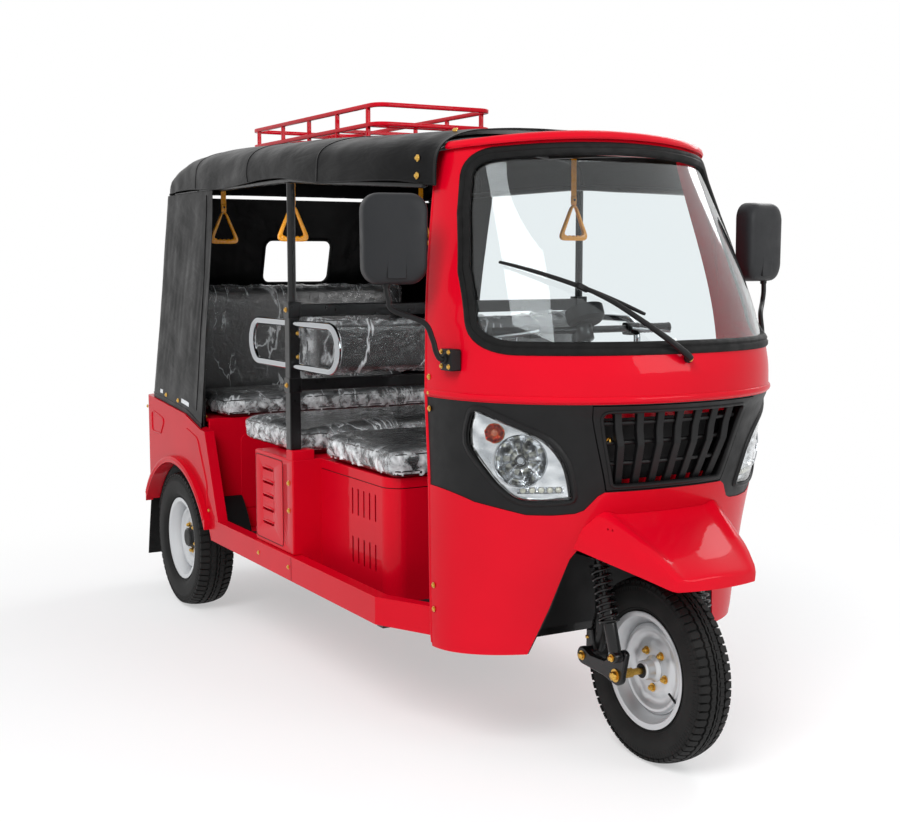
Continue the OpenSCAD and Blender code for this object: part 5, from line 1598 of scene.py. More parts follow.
def hoodFrameParts():
    g, r = hoodSizes["gap"], hoodSizes["tube"]
    parts = []
    for y in hoodSizes["hoops"]:
        turns = np.linspace(-math.pi / 2, math.pi / 2, 61)
        arc = hoodPoint(np.full(61, y), turns, g)
        parts.append(tube("hoop", arc, r, black, 14))
    ys = np.linspace(frontY + 0.494, tailY - 0.55, 24)
    parts += [tube("rail", [(s * 0.45, y, hoodHeight(0.45, y) - g) for y in ys], r, black, 14)
              for s in (-1, 1)]
    ys = np.linspace(frontY + 0.494, tailY - 0.4, 24)
    parts += [tube("rail", [(s * (float(hoodHalf(y)) - g), y, float(hoodLow(y)) + 0.006) for y in ys], r,
                   black, 14) for s in (-1, 1)]
    stayY = tailY - 0.675
    foot = float(beltLine(stayY + 0.009))
    for s in (-1, 1):
        x = s * (halfWidth - 0.04 + 0.0115)
        parts.append(rod("stay", (x, stayY, foot + 0.0004), (x, stayY, float(hoodLow(stayY)) + 0.006),
                         0.009, black, 16))
        parts += boltHead((x - s * 0.009, stayY, foot + 0.04), (-s, 0, 0), 0.006, 0.005, gold)
    return parts


place(join("hoodFrame", hoodFrameParts()), "body", "canopy_frame", slot="black_paint")


def squareBar(name, path, wide, tall, corner, material, closed=False):
    # Sweeps a rounded rectangle along a path, kept upright
    section = roundedRect(wide, tall, corner, 2)
    path = [Vector(p) for p in path]
    rows = []
    for i, p in enumerate(path):
        a, b = beside(path, i, closed)
        ahead = (b - a).normalized()
        side = Vector((0, 0, 1)).cross(ahead).normalized()
        up = ahead.cross(side)
        rows.append([p + side * u + up * v for u, v in section])
    return solid(name, rows, material, 40, loop=closed)


rack = {"half": 0.232, "front": frontY + 1.3, "back": tailY - 0.34, "top": hoodZ + 0.096,
        "low": hoodZ + 0.03, "bar": 0.0158, "corner": 0.052}


def rackParts():
    x, y0, y1 = rack["half"], rack["front"], rack["back"]
    corners = [(x, y0), (x, y1), (-x, y1), (-x, y0)]
    parts = []
    for z in (rack["top"], rack["low"]):
        path = roundCorners([(a, b, z) for a, b in corners], rack["corner"], True, 6)
        parts.append(squareBar("rail", path, rack["bar"], rack["bar"], 0.003, red, True))
    stations = [y0 + 0.07 + k * (y1 - y0 - 0.14) / 4 for k in range(5)]
    for y in stations:
        for s in (-1, 1):
            foot = max(hoodHeight(x, y - 0.007), hoodHeight(x, y + 0.007), hoodHeight(x - 0.007, y)) + 0.001
            parts.append(soften(block("post", (s * x - 0.0068, y - 0.0068, foot),
                                      (s * x + 0.0068, y + 0.0068, rack["top"]), red), 0.0015))
            pad = [(s * x - 0.0065, y - 0.0068, foot), (s * x + 0.0068, y + 0.0068, foot + 0.003)]
            parts.append(block("pad", *pad, red, 0.0008))
        parts.append(soften(block("rung", (-x, y - 0.0066, rack["low"] - 0.0066),
                                  (x, y + 0.0066, rack["low"] + 0.0066), red), 0.0015))
    for z in (rack["top"], rack["low"]):  # weld beads where the posts meet the rails
        for y in stations:
            for s in (-1, 1):
                parts.append(ring((s * x, y, z + (-0.0079 if z > rack["low"] else 0.0079)), (0, 0, 1),
                                  0.0072, 0.0013, red, 12))
    return parts


place(join("roofRack", rackParts()), "body", "roof_rack", slot="red_paint")

# ---- Hood and rear curtain ----


def pathLength(points):
    return float(np.linalg.norm(np.diff(np.array(points), axis=0), axis=1).sum())


def evenly(points, count):
    # Points spread evenly by length along a path
    points = np.asarray(points, float)
    run = np.concatenate([[0], np.cumsum(np.linalg.norm(np.diff(points, axis=0), axis=1))])
    at = np.linspace(0, run[-1], count)
    return np.stack([np.interp(at, run, points[:, k]) for k in range(3)], 1)


def crease(x, y, z, seed):
    return noise.noise(Vector((x, y, z + seed)))


def hoodFold(side, y, z, across):
    # Depth of the cloth's folds, inward: hoops hold it, spans sag, sides crease
    stops = [hoodFront - 0.02] + hoodSizes["hoops"] + [hoodBack + 0.05]
    sag = 0.0
    for a, b in zip(stops, stops[1:]):
        if a <= y < b:
            sag = math.sin(math.pi * (y - a) / (b - a)) ** 1.4
    down = np.clip((across - 0.55) / 0.4, 0, 1)
    top = 0.004 * sag * (1 - down)
    sweepFold = 0.0085 * sag * (0.5 + crease(y * 1.9, z * 9.0 + y * 1.3, side, 3.1))
    small = 0.0035 * abs(crease(y * 7 + z * 3, z * 12, side, 9.4)) * (0.4 + 0.6 * sag)
    tail = np.clip((y - tailY + 0.75) / 0.4, 0, 1)
    gather = 0.005 * tail * (0.5 + crease(y * 13 - z * 6, z * 3, side, 5.7))
    ripple = 0.0015 * abs(crease(y * 5, across * 6, side, 1.3))
    return top + down * (sweepFold + small) + gather * down + ripple


def hoodRows(inset):
    turns = np.linspace(-math.pi / 2, math.pi / 2, 361)
    rows = []
    for y in np.concatenate([[hoodFront, hoodFront + 0.004], np.linspace(hoodFront + 0.02, hoodBack, 120)]):
        arc = evenly(hoodPoint(np.full(361, y), turns, 0.0), 141)
        low = float(hoodLow(y))
        row = []
        for i, p in enumerate(arc):
            a, b = map(Vector, beside(arc, i))
            out = Vector((0, 1, 0)).cross(b - a).normalized()
            if out.z < -0.3 or out.dot(Vector((p[0], 0, p[2] - low))) < 0:
                out = -out
            across = abs(i - 70) / 70
            depth = hoodFold(math.copysign(1, p[0]), y, p[2], across)
            hem = np.clip((across - 0.93) / 0.07, 0, 1)
            lift = 0.007 * hem * (1 + math.sin(y * 7.5 + 0.8)) * (0.35 + 0.65
                                                                  * min(1, (y - hoodFront) / 0.15))
            row.append(Vector(p) - out * (depth + inset) + Vector((0, 0, lift + inset * hem * 0.4)))
        rows.append(row)
    return np.array(rows)


hoodOuter = hoodRows(0.0)
hood = shell("hoodCloth", hoodOuter, hoodRows(hoodSizes["thick"]), hoodMaterial, 50)
place(hood, "body", "canopy_cover", slot="hood_vinyl")
turns = np.linspace(-math.pi / 2, math.pi / 2, 200)
arcLengths = [pathLength(hoodPoint(np.full(200, y), turns)) for y in np.linspace(hoodFront, hoodBack, 30)]
spineLength = pathLength(hoodPoint(np.linspace(hoodFront, hoodBack, 60), 0.0))


def lapSeam(row, width, proud=0.0016):
    # A raised lap seam along a row of surface points
    row = [Vector(p) for p in row]
    rows = []
    for i, p in enumerate(row):
        a, b = beside(row, i)
        ahead = (b - a).normalized()
        out = (p - Vector((0, p.y, 1.45))).normalized()
        out = (out - ahead * out.dot(ahead)).normalized()
        across = ahead.cross(out)
        rows.append([p - across * width / 2 - out * 0.001, p - across * width * 0.4 + out * proud,
                     p + across * width * 0.4 + out * proud, p + across * width / 2 - out * 0.001])
    return solid("seam", rows, hoodMaterial, 50)


hoodSeams = [lapSeam(hoodOuter[station], width) for station, width in ((1, 0.02), (34, 0.011), (66, 0.011),
                                                                       (97, 0.011))]
for edge in (hoodOuter[:, 0], hoodOuter[:, -1]):
    hoodSeams.append(tube("hem", [Vector(p) + Vector((0, 0, 0.002)) for p in edge], 0.0028, hoodMaterial, 6))
for k, rise in ((2, 3), (2, 9), (1, 27)):  # snaps at the front corners
    for column in (rise, 140 - rise):
        p = Vector(hoodOuter[5][column])
        out = (p
               - Vector((0, p.y,
                         1.5))).normalized() if abs(column
                                                    - 70) < 60 else Vector((math.copysign(1, p.x), 0, 0))
        hoodSeams.append(lathe("snap", [(0.0, 0.0075), (0.004, 0.007), (0.0062, 0.005), (0.0075, 0.0025),
                                        (0.0105, 0.0015), (0.011, -0.001)], p, out, gold, 24, closed=False))
seams = place(join("hoodSeams", hoodSeams), "body")
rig.sheet(hood, flat=(max(arcLengths), spineLength), held="stretched", rests_on=["hoodFrame"],
         with_pieces=[seams], area=float(np.mean(arcLengths)) * spineLength)

curtainSizes = {"round": 0.12, "windowX": 0.03, "windowHalf": 0.16, "windowLow": 1.33, "windowHigh": 1.52}


def curtainPlan(z, inset):
    # Plan of the curtain from its right front edge round the back to the left one
    w, r = curtainHalf - inset, curtainSizes["round"] - inset
    back = float(curtainBack(z)) - inset
    half = [(w, float(curtainEdge(z))), (w, tailY - 0.52)]
    half += [(w - r + r * math.cos(math.radians(6 * k)), back - r + r * math.sin(math.radians(6 * k)))
             for k in range(16)]
    return [(-x, y, 0.0) for x, y in half] + [(x, y, 0.0) for x, y in half[::-1]]


def curtainRows(inset, count=231):
    rows = []
    for share in np.linspace(0, 1, 56):
        z = rearBeltZ + (rearTopZ - 0.0004 - rearBeltZ) * share
        plan = evenly(curtainPlan(z, 0.0), count)
        row = []
        for i, (x, y, _) in enumerate(plan):
            a, b = map(Vector, beside(plan, i))
            out = (b - a).cross(Vector((0, 0, 1))).normalized()
            if out.dot(Vector((x, y - tailY + 0.6, 0))) < 0:
                out = -out
            edge = min(i, count - 1 - i) / (count / 2)
            free = np.clip(1 - edge / 0.5, 0, 1)
            hung = math.sin(math.pi * min(1, share * 1.02)) ** 0.7
            side = math.copysign(1, x)
            run = edge * 1.35
            deep = 0.010 * free * hung * (0.5 + 0.9 * crease(run * 7 + share * 1.4, share * 1.5, side, 2.2))
            fine = 0.003 * hung * abs(crease(run * 22 + share * 3, share * 4, side, 6.0))
            slack = 0.004 * hung * (0.5 + crease(x * 3, share * 3, 0, 8.0))
            depth = float(np.clip(deep + fine + slack, 0.0, 0.016))
            low = float(beltLine(y)) + 0.0006
            blend = min(1, share * 3)
            height = (low + (z - rearBeltZ)) * (1 - blend) + z * blend if blend < 1 else z
            row.append(Vector((x, y, max(height, low))) - out * (depth + inset))
        rows.append(row)
    return np.array(rows)


curtainOuter = curtainRows(0.0)
curtain = shell("rearCurtainCloth", curtainOuter, curtainRows(hoodSizes["thick"]), hoodMaterial, 50)
cs = curtainSizes
windowX, windowZ = cs["windowX"], (cs["windowLow"] + cs["windowHigh"]) / 2
windowRing = [(x + windowX, z + windowZ)
              for x, z in roundedRect(2 * cs["windowHalf"], cs["windowHigh"] - cs["windowLow"], 0.035, 5)]
curtain = cut(curtain, prism("tool", windowRing, tailY - 0.4, tailY + 0.05, "y"))
tidy(curtain, 50)
place(curtain, "body", "rear_curtain", slot="hood_vinyl")


def onCurtain(x, z, inset):
    return Vector((x, float(curtainBack(z)) - inset, z))


trims = []
for inset in (-0.0005, 0.0085):
    path = [onCurtain(x, z, inset) for x, z in dense(windowRing, 0.02)]
    trims.append(tube("trim", path, 0.0062 if inset < 0 else 0.005, soft, 8, True))
for column in (6, 224):
    trims.append(tube("seam", [Vector(p) + Vector((math.copysign(0.0008, p[0]), 0, 0))
                               for p in curtainOuter[3:-1, column]], 0.0013, hoodMaterial, 6))
trims.append(tube("hem", [Vector(p) for p in curtainOuter[1]], 0.0022, hoodMaterial, 6))
for column in (26, 40, 190, 204):  # snaps along the foot
    p, q = Vector(curtainOuter[2][column]), Vector(curtainOuter[2][column + 1])
    out = (q - p).cross(Vector((0, 0, 1))).normalized()
    out = out if out.dot(Vector((p.x, p.y - tailY + 0.6, 0))) > 0 else -out
    trims.append(lathe("snap", [(0.0, 0.006), (0.004, 0.0055), (0.006, 0.004), (0.007, 0.002),
                                (0.0095, 0.001), (0.01, -0.001)], p, out, gold, 20, closed=False))
for first, last in ((14, 23), (44, 48)):  # reflective strips on the right side of the foot
    strip = [[Vector(curtainOuter[r][c]) + Vector((-0.0012, 0, 0)) for c in range(first, last)]
             for r in (2, 3)]
    back = [[p + Vector((0.0016, 0, 0)) for p in row] for row in strip]
    trims.append(shell("strip", np.array(strip), np.array(back), tape, 30))
trims = place(join("curtainTrim", trims), "body")
planLengths = [pathLength(curtainPlan(z, 0)) for z in (0.86, 1.1, 1.3, 1.5, 1.68)]
drop = rearTopZ - rearBeltZ + 0.03
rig.sheet(curtain, flat=(max(planLengths), drop), held="hung", rests_on=["hoodFrame"], with_pieces=[trims],
         area=float(np.mean(planLengths)) * drop * 0.98)
print("hood")

# ---- Posts, rails and handles ----

post = {"x": 0.585, "half": 0.02, "boxTop": 1.29, "barLow": 1.03, "barHigh": 1.24, "stub": seatZ + 0.032}


def postParts():
    x, h = post["x"], post["half"]
    parts = [block("box", (x - h, postY - h, post["stub"]), (x + h, postY + h, post["boxTop"]), black, 0.003)]
    parts.append(rod("upper", (x, postY, post["boxTop"] - 0.002), (x, postY, float(hoodLow(postY)) - 0.006),
                     0.014, black, 24))
    for low, high in ((post["barHigh"] - 0.004, post["barHigh"] + 0.05),
                      (post["barLow"] - 0.046, post["barLow"] + 0.004)):
        parts.append(block("clamp", (x - h - 0.003, postY - h - 0.003, low),
                           (x + h + 0.003, postY + h + 0.003, high), black, 0.002))
        parts += boltHead((x + h + 0.003, postY, (low + high) / 2), (1, 0, 0), 0.006, 0.005, gold, 0.009)
    return parts


bars = []
for low, high in ((post["barHigh"], post["barHigh"] + 0.042), (post["barLow"] - 0.04, post["barLow"])):
    bars.append(block("bar", (-post["x"] + 0.01, postY - 0.016, low), (post["x"] - 0.01, postY + 0.016,
                                                                       high), black, 0.003))
place(join("centrePosts", bars + [both("posts", postParts())]), "body", "centre_posts", slot="black_paint")

rail = {"reach": 0.365, "half": 0.072, "radius": 0.0125, "z": 1.146}


def railParts():
    x = post["x"]
    parts = []
    for s in (-1, 1):
        start = postY + s * (post["half"] + 0.0035)
        bend = [(x, postY + s * (rail["reach"] - rail["half"]) + s * rail["half"] * math.cos(a),
                 rail["z"] + rail["half"] * math.sin(a))
                for a in np.linspace(math.pi / 2, -math.pi / 2, 25)]
        path = [(x, start, rail["z"] + rail["half"])] + bend + [(x, start, rail["z"] - rail["half"])]
        parts.append(tube("rail", path, rail["radius"] - 0.0002, chrome, 20))
        for z in (-rail["half"], rail["half"]):
            near, far = sorted((start, start + 0.026 * s))
            low, high = sorted((rail["z"] + z * 0.35, rail["z"] + z * 0.98))
            parts.append(block("tab", (x - 0.006, near, low), (x - 0.003, far, high), chrome, 0.0008))
            parts += boltHead((x - 0.003, start + s * 0.014, rail["z"] + z * 0.55), (1, 0, 0), 0.0058,
                              0.005, gold, 0.008)
    return parts


place(both("grabRails", railParts()), "body", "grab_rails", slot="chrome")

handle = {"x": 0.726 * halfWidth, "low": 1.4955, "high": 1.6335, "thick": 0.0155}


def handleParts(x, y):
    # A rounded triangle with finger waves along its lower bar, on a riveted strap
    low, high = handle["low"], handle["high"]
    outer = roundCorners([(-0.0675, 0, low), (0.0675, 0, low), (0.0, 0, high + 0.012)], 0.022, True, 7)
    outer = [(p.x, p.z) for p in outer]
    waves = [(-0.034 + 0.068 * k / 24, low + 0.0175 + 0.0022 * math.cos(2 * math.pi * k / 6))
             for k in range(25)]
    inner = [(-0.041, low + 0.022), *waves, (0.041, low + 0.022), (0.0415, low + 0.029),
             (0.0065, high - 0.022), (0.0, high - 0.018), (-0.0065, high - 0.022), (-0.0415, low + 0.029)]
    t = handle["thick"] / 2
    body = prism("body", outer, -t, t, "y", yellow)
    body = soften(cut(body, prism("tool", inner, -0.02, 0.02, "y")), 0.0042, 3, 40)
    body.data.transform(Matrix.Translation((x, y, 0)))
    top = hoodHeight(x, y) - 0.0373
    strap = [body, block("strap", (x - 0.0105, y - 0.0026, high - 0.012), (x + 0.0105, y + 0.0026, top),
                         yellow, 0.001)]
    strap.append(block("lug", (x - 0.0108, y - 0.0055, high - 0.006), (x + 0.0108, y + 0.0055, high + 0.02),
                       yellow, 0.003))
    strap += boltHead((x, y - 0.0055, high + 0.007), (0, -1, 0), 0.0042, 0.003, black)
    return strap


spots = [(-handle["x"], frontY + 1.54), (-handle["x"], frontY + 2.24), (handle["x"], frontY + 1.085),
         (handle["x"], frontY + 2.24)]
place(join("grabHandles", [part for spot in spots for part in handleParts(*spot)]), "body", "grab_handles",
      slot="yellow_plastic")
print("posts")

# ---- Seat boxes ----


def refined(name, node, width, segments=2, material=None):
    # A softened copy of a frame part
    source = frame["nodes"][node]
    obj = bpy.data.objects.new(name, source.data.copy())
    bpy.context.collection.objects.link(obj)
    bm = bmesh.new()
    bm.from_mesh(obj.data)
    bmesh.ops.remove_doubles(bm, verts=bm.verts, dist=2e-5)
    bmesh.ops.dissolve_limit(bm, angle_limit=math.radians(0.6), verts=bm.verts, edges=bm.edges)
    bm.to_mesh(obj.data)
    bm.free()
    if material:
        obj.data.materials.clear()
        obj.data.materials.append(material)
    soften(obj, width, segments, 25)
    return evenShade(obj)


box = {"x": 0.8065 * halfWidth, "front": frontY + 0.69, "stepFront": postY - 0.035,
       "stepBack": postY + 0.304, "stepX": halfWidth - 0.014, "inner": halfWidth - 0.0453, "sill": 0.43,
       "wall": 0.003, "lid": 0.036}


def slabOutline(grow, front, back, radius=0.06):
    x = box["x"] + grow
    r = radius + grow
    ring = [(x, back), (-x, back)]
    ring += [(-x + r - r * math.cos(math.radians(a)), front - grow + r - r * math.sin(math.radians(a)))
             for a in range(0, 91, 9)]
    ring += [(x - r + r * math.sin(math.radians(a)), front - grow + r - r * math.cos(math.radians(a)))
             for a in range(0, 91, 9)]
    return ring


def driverBox():
    y0, y1, top = box["front"], box["stepFront"] + 0.001, seatZ
    body = prism("box", slabOutline(0, y0, y1), floorTop, top - box["lid"], "z", red)
    body = cut(body, prism("tool", slabOutline(-box["wall"], y0, y1 + 0.01), floorTop - 0.01, top, "z"))
    for k in range(5):
        y = box["front"] + 0.104 + 0.0415 * k
        for z in (0.489, 0.649):
            slot = [(y + a, z + b) for a, b in roundedRect(0.0095, 0.088, 0.0047, 4)]
            body = cut(body, prism("tool", slot, -0.6, 0.6, "x"))
    lid = prism("lid", slabOutline(0.0012, y0, y1), top - box["lid"] + 0.0022, top - 0.0004, "z", red)
    gap = prism("gap", slabOutline(-0.002, y0, y1), top - box["lid"] - 0.004, top - box["lid"] + 0.004, "z",
                plastic)
    catch = boltHead((0, y0 - 0.0012, top - 0.018), (0, -1, 0), 0.007, 0.004, black)
    return [evenShade(soften(body, 0.0012, 2)), evenShade(soften(lid, 0.003, 3)), gap] + catch


def stepBox():
    y0, y1 = box["stepFront"], box["stepBack"]
    base = block("base", (-box["inner"], y0, floorTop), (box["inner"], y1, seatZ), red)
    ears = block("ears", (-box["stepX"], y0, box["sill"]), (box["stepX"], y1, seatZ), red)
    body = cut(base, ears, operation="UNION")
    hollow = block("tool", (-box["inner"] + 0.02, y0 + 0.02, floorTop - 0.1),
                   (box["inner"] - 0.02, y1 - 0.02, seatZ - 0.01))
    parts = [soften(cut(body, hollow), 0.005, 3)]
    px, yA, yB, zA, zB = box["stepX"], y0 + 0.088, y1 - 0.012, 0.448, 0.742
    middle = (yA + yB) / 2
    for s in (-1, 1):
        x0, x1 = sorted((s * (post["x"] - 0.062), s * px))
        parts.append(block("stub", (x0, y0 + 0.0005, seatZ - 0.004), (x1, y0 + 0.055, post["stub"]), red,
                           0.004))
        ring = [(middle + a, (zA + zB) / 2 + b) for a, b in roundedRect(yB - yA, zB - zA, 0.012, 4)]
        plate = prism("plate", ring, *sorted((s * (px - 0.004), s * (px + 0.0014))), "x", red)
        for z in [0.700 - 0.048 * k for k in range(5)]:  # louvres
            slot = [(middle + a + 0.01, z + b) for a, b in roundedRect(0.098, 0.0115, 0.0055, 4)]
            plate = cut(plate, prism("tool", slot, -1, 1, "x"))
            parts[0] = cut(parts[0], prism("tool", slot, s * px - 0.012, s * px + 0.012, "x"))
            path = smoothPath([(s * (px + 0.0005), middle + 0.01 + a,
                                z + 0.0055 + 0.0015 * (1 - (a / 0.049) ** 2))
                               for a in np.linspace(-0.05, 0.05, 9)], 3)
            last = len(path) - 1
            radii = [0.001 + 0.0034 * math.sin(math.pi * i / last) ** 0.4 for i in range(last + 1)]
            parts.append(tube("lip", path, 0.004, red, 8, radii=radii))
        parts.append(soften(plate, 0.0008, 2))
        corners = ((yA - 0.002, 0.446), (yB + 0.002, 0.446), (yB + 0.002, 0.744), (yA - 0.002, 0.744))
        seam = roundCorners([(s * (px + 0.0003), y, z) for y, z in corners], 0.012, True)
        parts.append(tube("seam", seam, 0.0011, plastic, 6, True))
        for z in (0.58, 0.675):
            parts += boltHead((s * px, y0 + 0.035, z), (s, 0, 0), 0.0062, 0.005, gold, 0.0095)
    return parts


place(join("seatBoxes", driverBox() + stepBox()), "body", "seat_box", slot="red_paint")

benchFront = rearFrontY + 0.19
bench = refined("rearBenchBase", "rear_bench_base", 0.003, 2, red)
panels = []
for k in (-1, 0, 1):
    ring = [(k * 0.32 + a, 0.59 + b) for a, b in roundedRect(0.26, 0.3, 0.03, 5)]
    panels.append(soften(prism("panel", ring, benchFront - 0.0022, benchFront + 0.002, "y", red), 0.0018))
place(join("rearBenchShell", [bench] + panels), "body", "rear_bench_base", slot="red_paint")
print("seat boxes")

# ---- Cushions ----

cushionSizes = {"voxel": 0.015, "pressure": 4.0, "frames": 20}


def swell(obj, cap, low, high):
    # Inflates a pad as cloth, then limits how far it moved and keeps it in its box
    obj = modify(obj, "REMESH", mode="VOXEL", voxel_size=cushionSizes["voxel"] * (2 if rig.quick() else 1))
    before = np.zeros(len(obj.data.vertices) * 3)
    obj.data.vertices.foreach_get("co", before)
    before = before.reshape(-1, 3)
    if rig.quick():
        after = before.copy()
    else:
        scene = bpy.context.scene
        cloth = obj.modifiers.new("swelling", "CLOTH")
        cloth.settings.quality = 4
        cloth.settings.mass = 0.3
        cloth.settings.use_pressure = True
        cloth.settings.uniform_pressure_force = cushionSizes["pressure"]
        cloth.settings.effector_weights.gravity = 0
        cloth.settings.tension_stiffness = cloth.settings.compression_stiffness = 12
        cloth.point_cache.frame_end = cushionSizes["frames"]
        for moment in range(1, cushionSizes["frames"] + 1):
            scene.frame_set(moment)
        graph = bpy.context.evaluated_depsgraph_get()
        after = np.zeros(len(before) * 3)
        obj.evaluated_get(graph).data.vertices.foreach_get("co", after)
        after = after.reshape(-1, 3)
        obj.modifiers.clear()
        scene.frame_set(1)
    move = after - before
    far = np.linalg.norm(move, axis=1, keepdims=True)
    move *= np.minimum(1, cap / np.maximum(far, 1e-9))
    points = np.clip(before + move, low, high)
    obj.data.vertices.foreach_set("co", points.ravel())
    obj.data.update()
    return modify(obj, "SUBSURF", levels=1, render_levels=1)


def crumple(points, normals, depth, seed, upAxis):
    # Sharp random creases of the plastic wrap, deep on the sides and light on the face
    facing = np.abs(normals[:, upAxis])
    weight = 0.22 + 0.78 * np.clip(1.15 - facing * 1.3, 0, 1)
    out = np.zeros(len(points))
    for i, p in enumerate(points):
        where = Vector(p) * 15 + Vector((seed, 0, 0))
        ridge = 1 - abs(noise.noise(where + 0.6 * Vector((noise.noise(where * 0.7),
                                                          noise.noise(where * 0.7 + Vector((5, 5, 5))), 0)))
                        * 2.2)
        fine = 1 - abs(noise.noise(where * 2.7)) * 2
        out[i] = depth * weight[i] * (max(0, ridge) ** 3 + 0.35 * max(0, fine) ** 4)
    return out


def meshPoints(obj):
    n = len(obj.data.vertices)
    points, normals = np.zeros(n * 3), np.zeros(n * 3)
    obj.data.vertices.foreach_get("co", points)
    obj.data.vertices.foreach_get("normal", normals)
    return points.reshape(-1, 3), normals.reshape(-1, 3)


def welt(obj, path, radius):
    # Piping laid on the swollen surface
    spots = []
    for p in path:
        _, at, normal, _ = obj.closest_point_on_mesh(Vector(p))
        spots.append(at + normal * radius * 0.3)
    return tube("welt", smoothPath(spots, 1, True), radius, seatMaterial, 8, True)


def filmCover(name, obj, low, upAxis, flat, area, seed):
    # Clear film over the pad, open below, with a ragged lower edge
    bm = bmesh.new()
    bm.from_mesh(obj.data)
    if upAxis == 2:
        drop = [f for f in bm.faces if f.normal.z < -0.45 or f.calc_center_median().z < low[2] + 0.004]
    else:
        drop = [f for f in bm.faces if f.normal.y > 0.8]
    bmesh.ops.delete(bm, geom=drop, context="FACES")
    mesh = bpy.data.meshes.new(name)
    bm.normal_update()
    bm.to_mesh(mesh)
    bm.free()
    cover = bpy.data.objects.new(name, mesh)
    bpy.context.collection.objects.link(cover)
    mesh.materials.clear()
    mesh.materials.append(film[upAxis])
    points, normals = meshPoints(cover)
    lift = 0.0014 + crumple(points, normals, 0.0075, seed, upAxis)
    points = points + normals * lift[:, None]
    if upAxis == 2:
        edge = np.clip(1 - (points[:, 2] - low[2]) / 0.02, 0, 1)
        ragged = np.array([noise.noise(Vector((p[0] * 16, p[1] * 16, seed))) for p in points])
        points[:, 2] -= edge * (0.004 + 0.010 * np.maximum(0, ragged + 0.2))
        side = np.clip(1 - np.abs(normals[:, 2]), 0, 1)
        points[:, :2] += normals[:, :2] * (edge * side * 0.005)[:, None]
    mesh.vertices.foreach_set("co", points.ravel())
    mesh.polygons.foreach_set("use_smooth", [True] * len(mesh.polygons))
    mesh.update()
    place(cover, "body")
    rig.sheet(cover, flat=flat, held="stretched", rests_on=[obj.name], area=area)


def filmMaterial(name, axis):
    # Crumpled polythene: clear on the flat face, milky in creases and where it turns over an edge
    material, tree, shader = surface(name, "EDF0F2", 0.14, Coat_Weight=1.0, Coat_Roughness=0.04)
    normal = add(tree, "NewGeometry").outputs["Normal"]
    facing = maths(tree, "ABSOLUTE", add(tree, "SeparateXYZ", {0: normal}).outputs[axis])
    turned = add(tree, "MapRange", {0: facing}, {1: 0.35, 2: 0.95, 3: 1.0, 4: 0.0}).outputs[0]
    mottle = spread(tree, waves(tree, 0.045, 4.0, 0.6, (1, 1, 1), 0.5), 0.0, 0.85, 0.38, 0.66)
    edge = maths(tree, "MULTIPLY", turned, mottle)
    folds = maths(tree, "ABSOLUTE", maths(tree, "SUBTRACT", waves(tree, 0.15, 4.0, 0.55, (1, 0.4, 0.4),
                                                                  0.5), 0.5))
    streak = add(tree, "MapRange", {0: folds}, {1: 0.0, 2: 0.02, 3: 0.75, 4: 0.0}).outputs[0]
    haze = spread(tree, waves(tree, 0.2, 2.0), 0.0, 1.0, 0.42, 0.62)
    alpha = maths(tree, "ADD", maths(tree, "MAXIMUM", edge, maths(tree, "MULTIPLY", streak, haze)), 0.04)
    creases = waves(tree, 0.035, 4.0, 0.6, (1, 1, 1), 0.6)
    feed(tree, shader, Alpha=alpha, Normal=bump(tree, creases, 0.004, 0.6),
         Coat_Normal=bump(tree, creases, 0.008, 0.9))
    return material


film = {2: filmMaterial("crumpled_polythene_film", "Z"), 1: filmMaterial("crumpled_upright_film", "Y")}


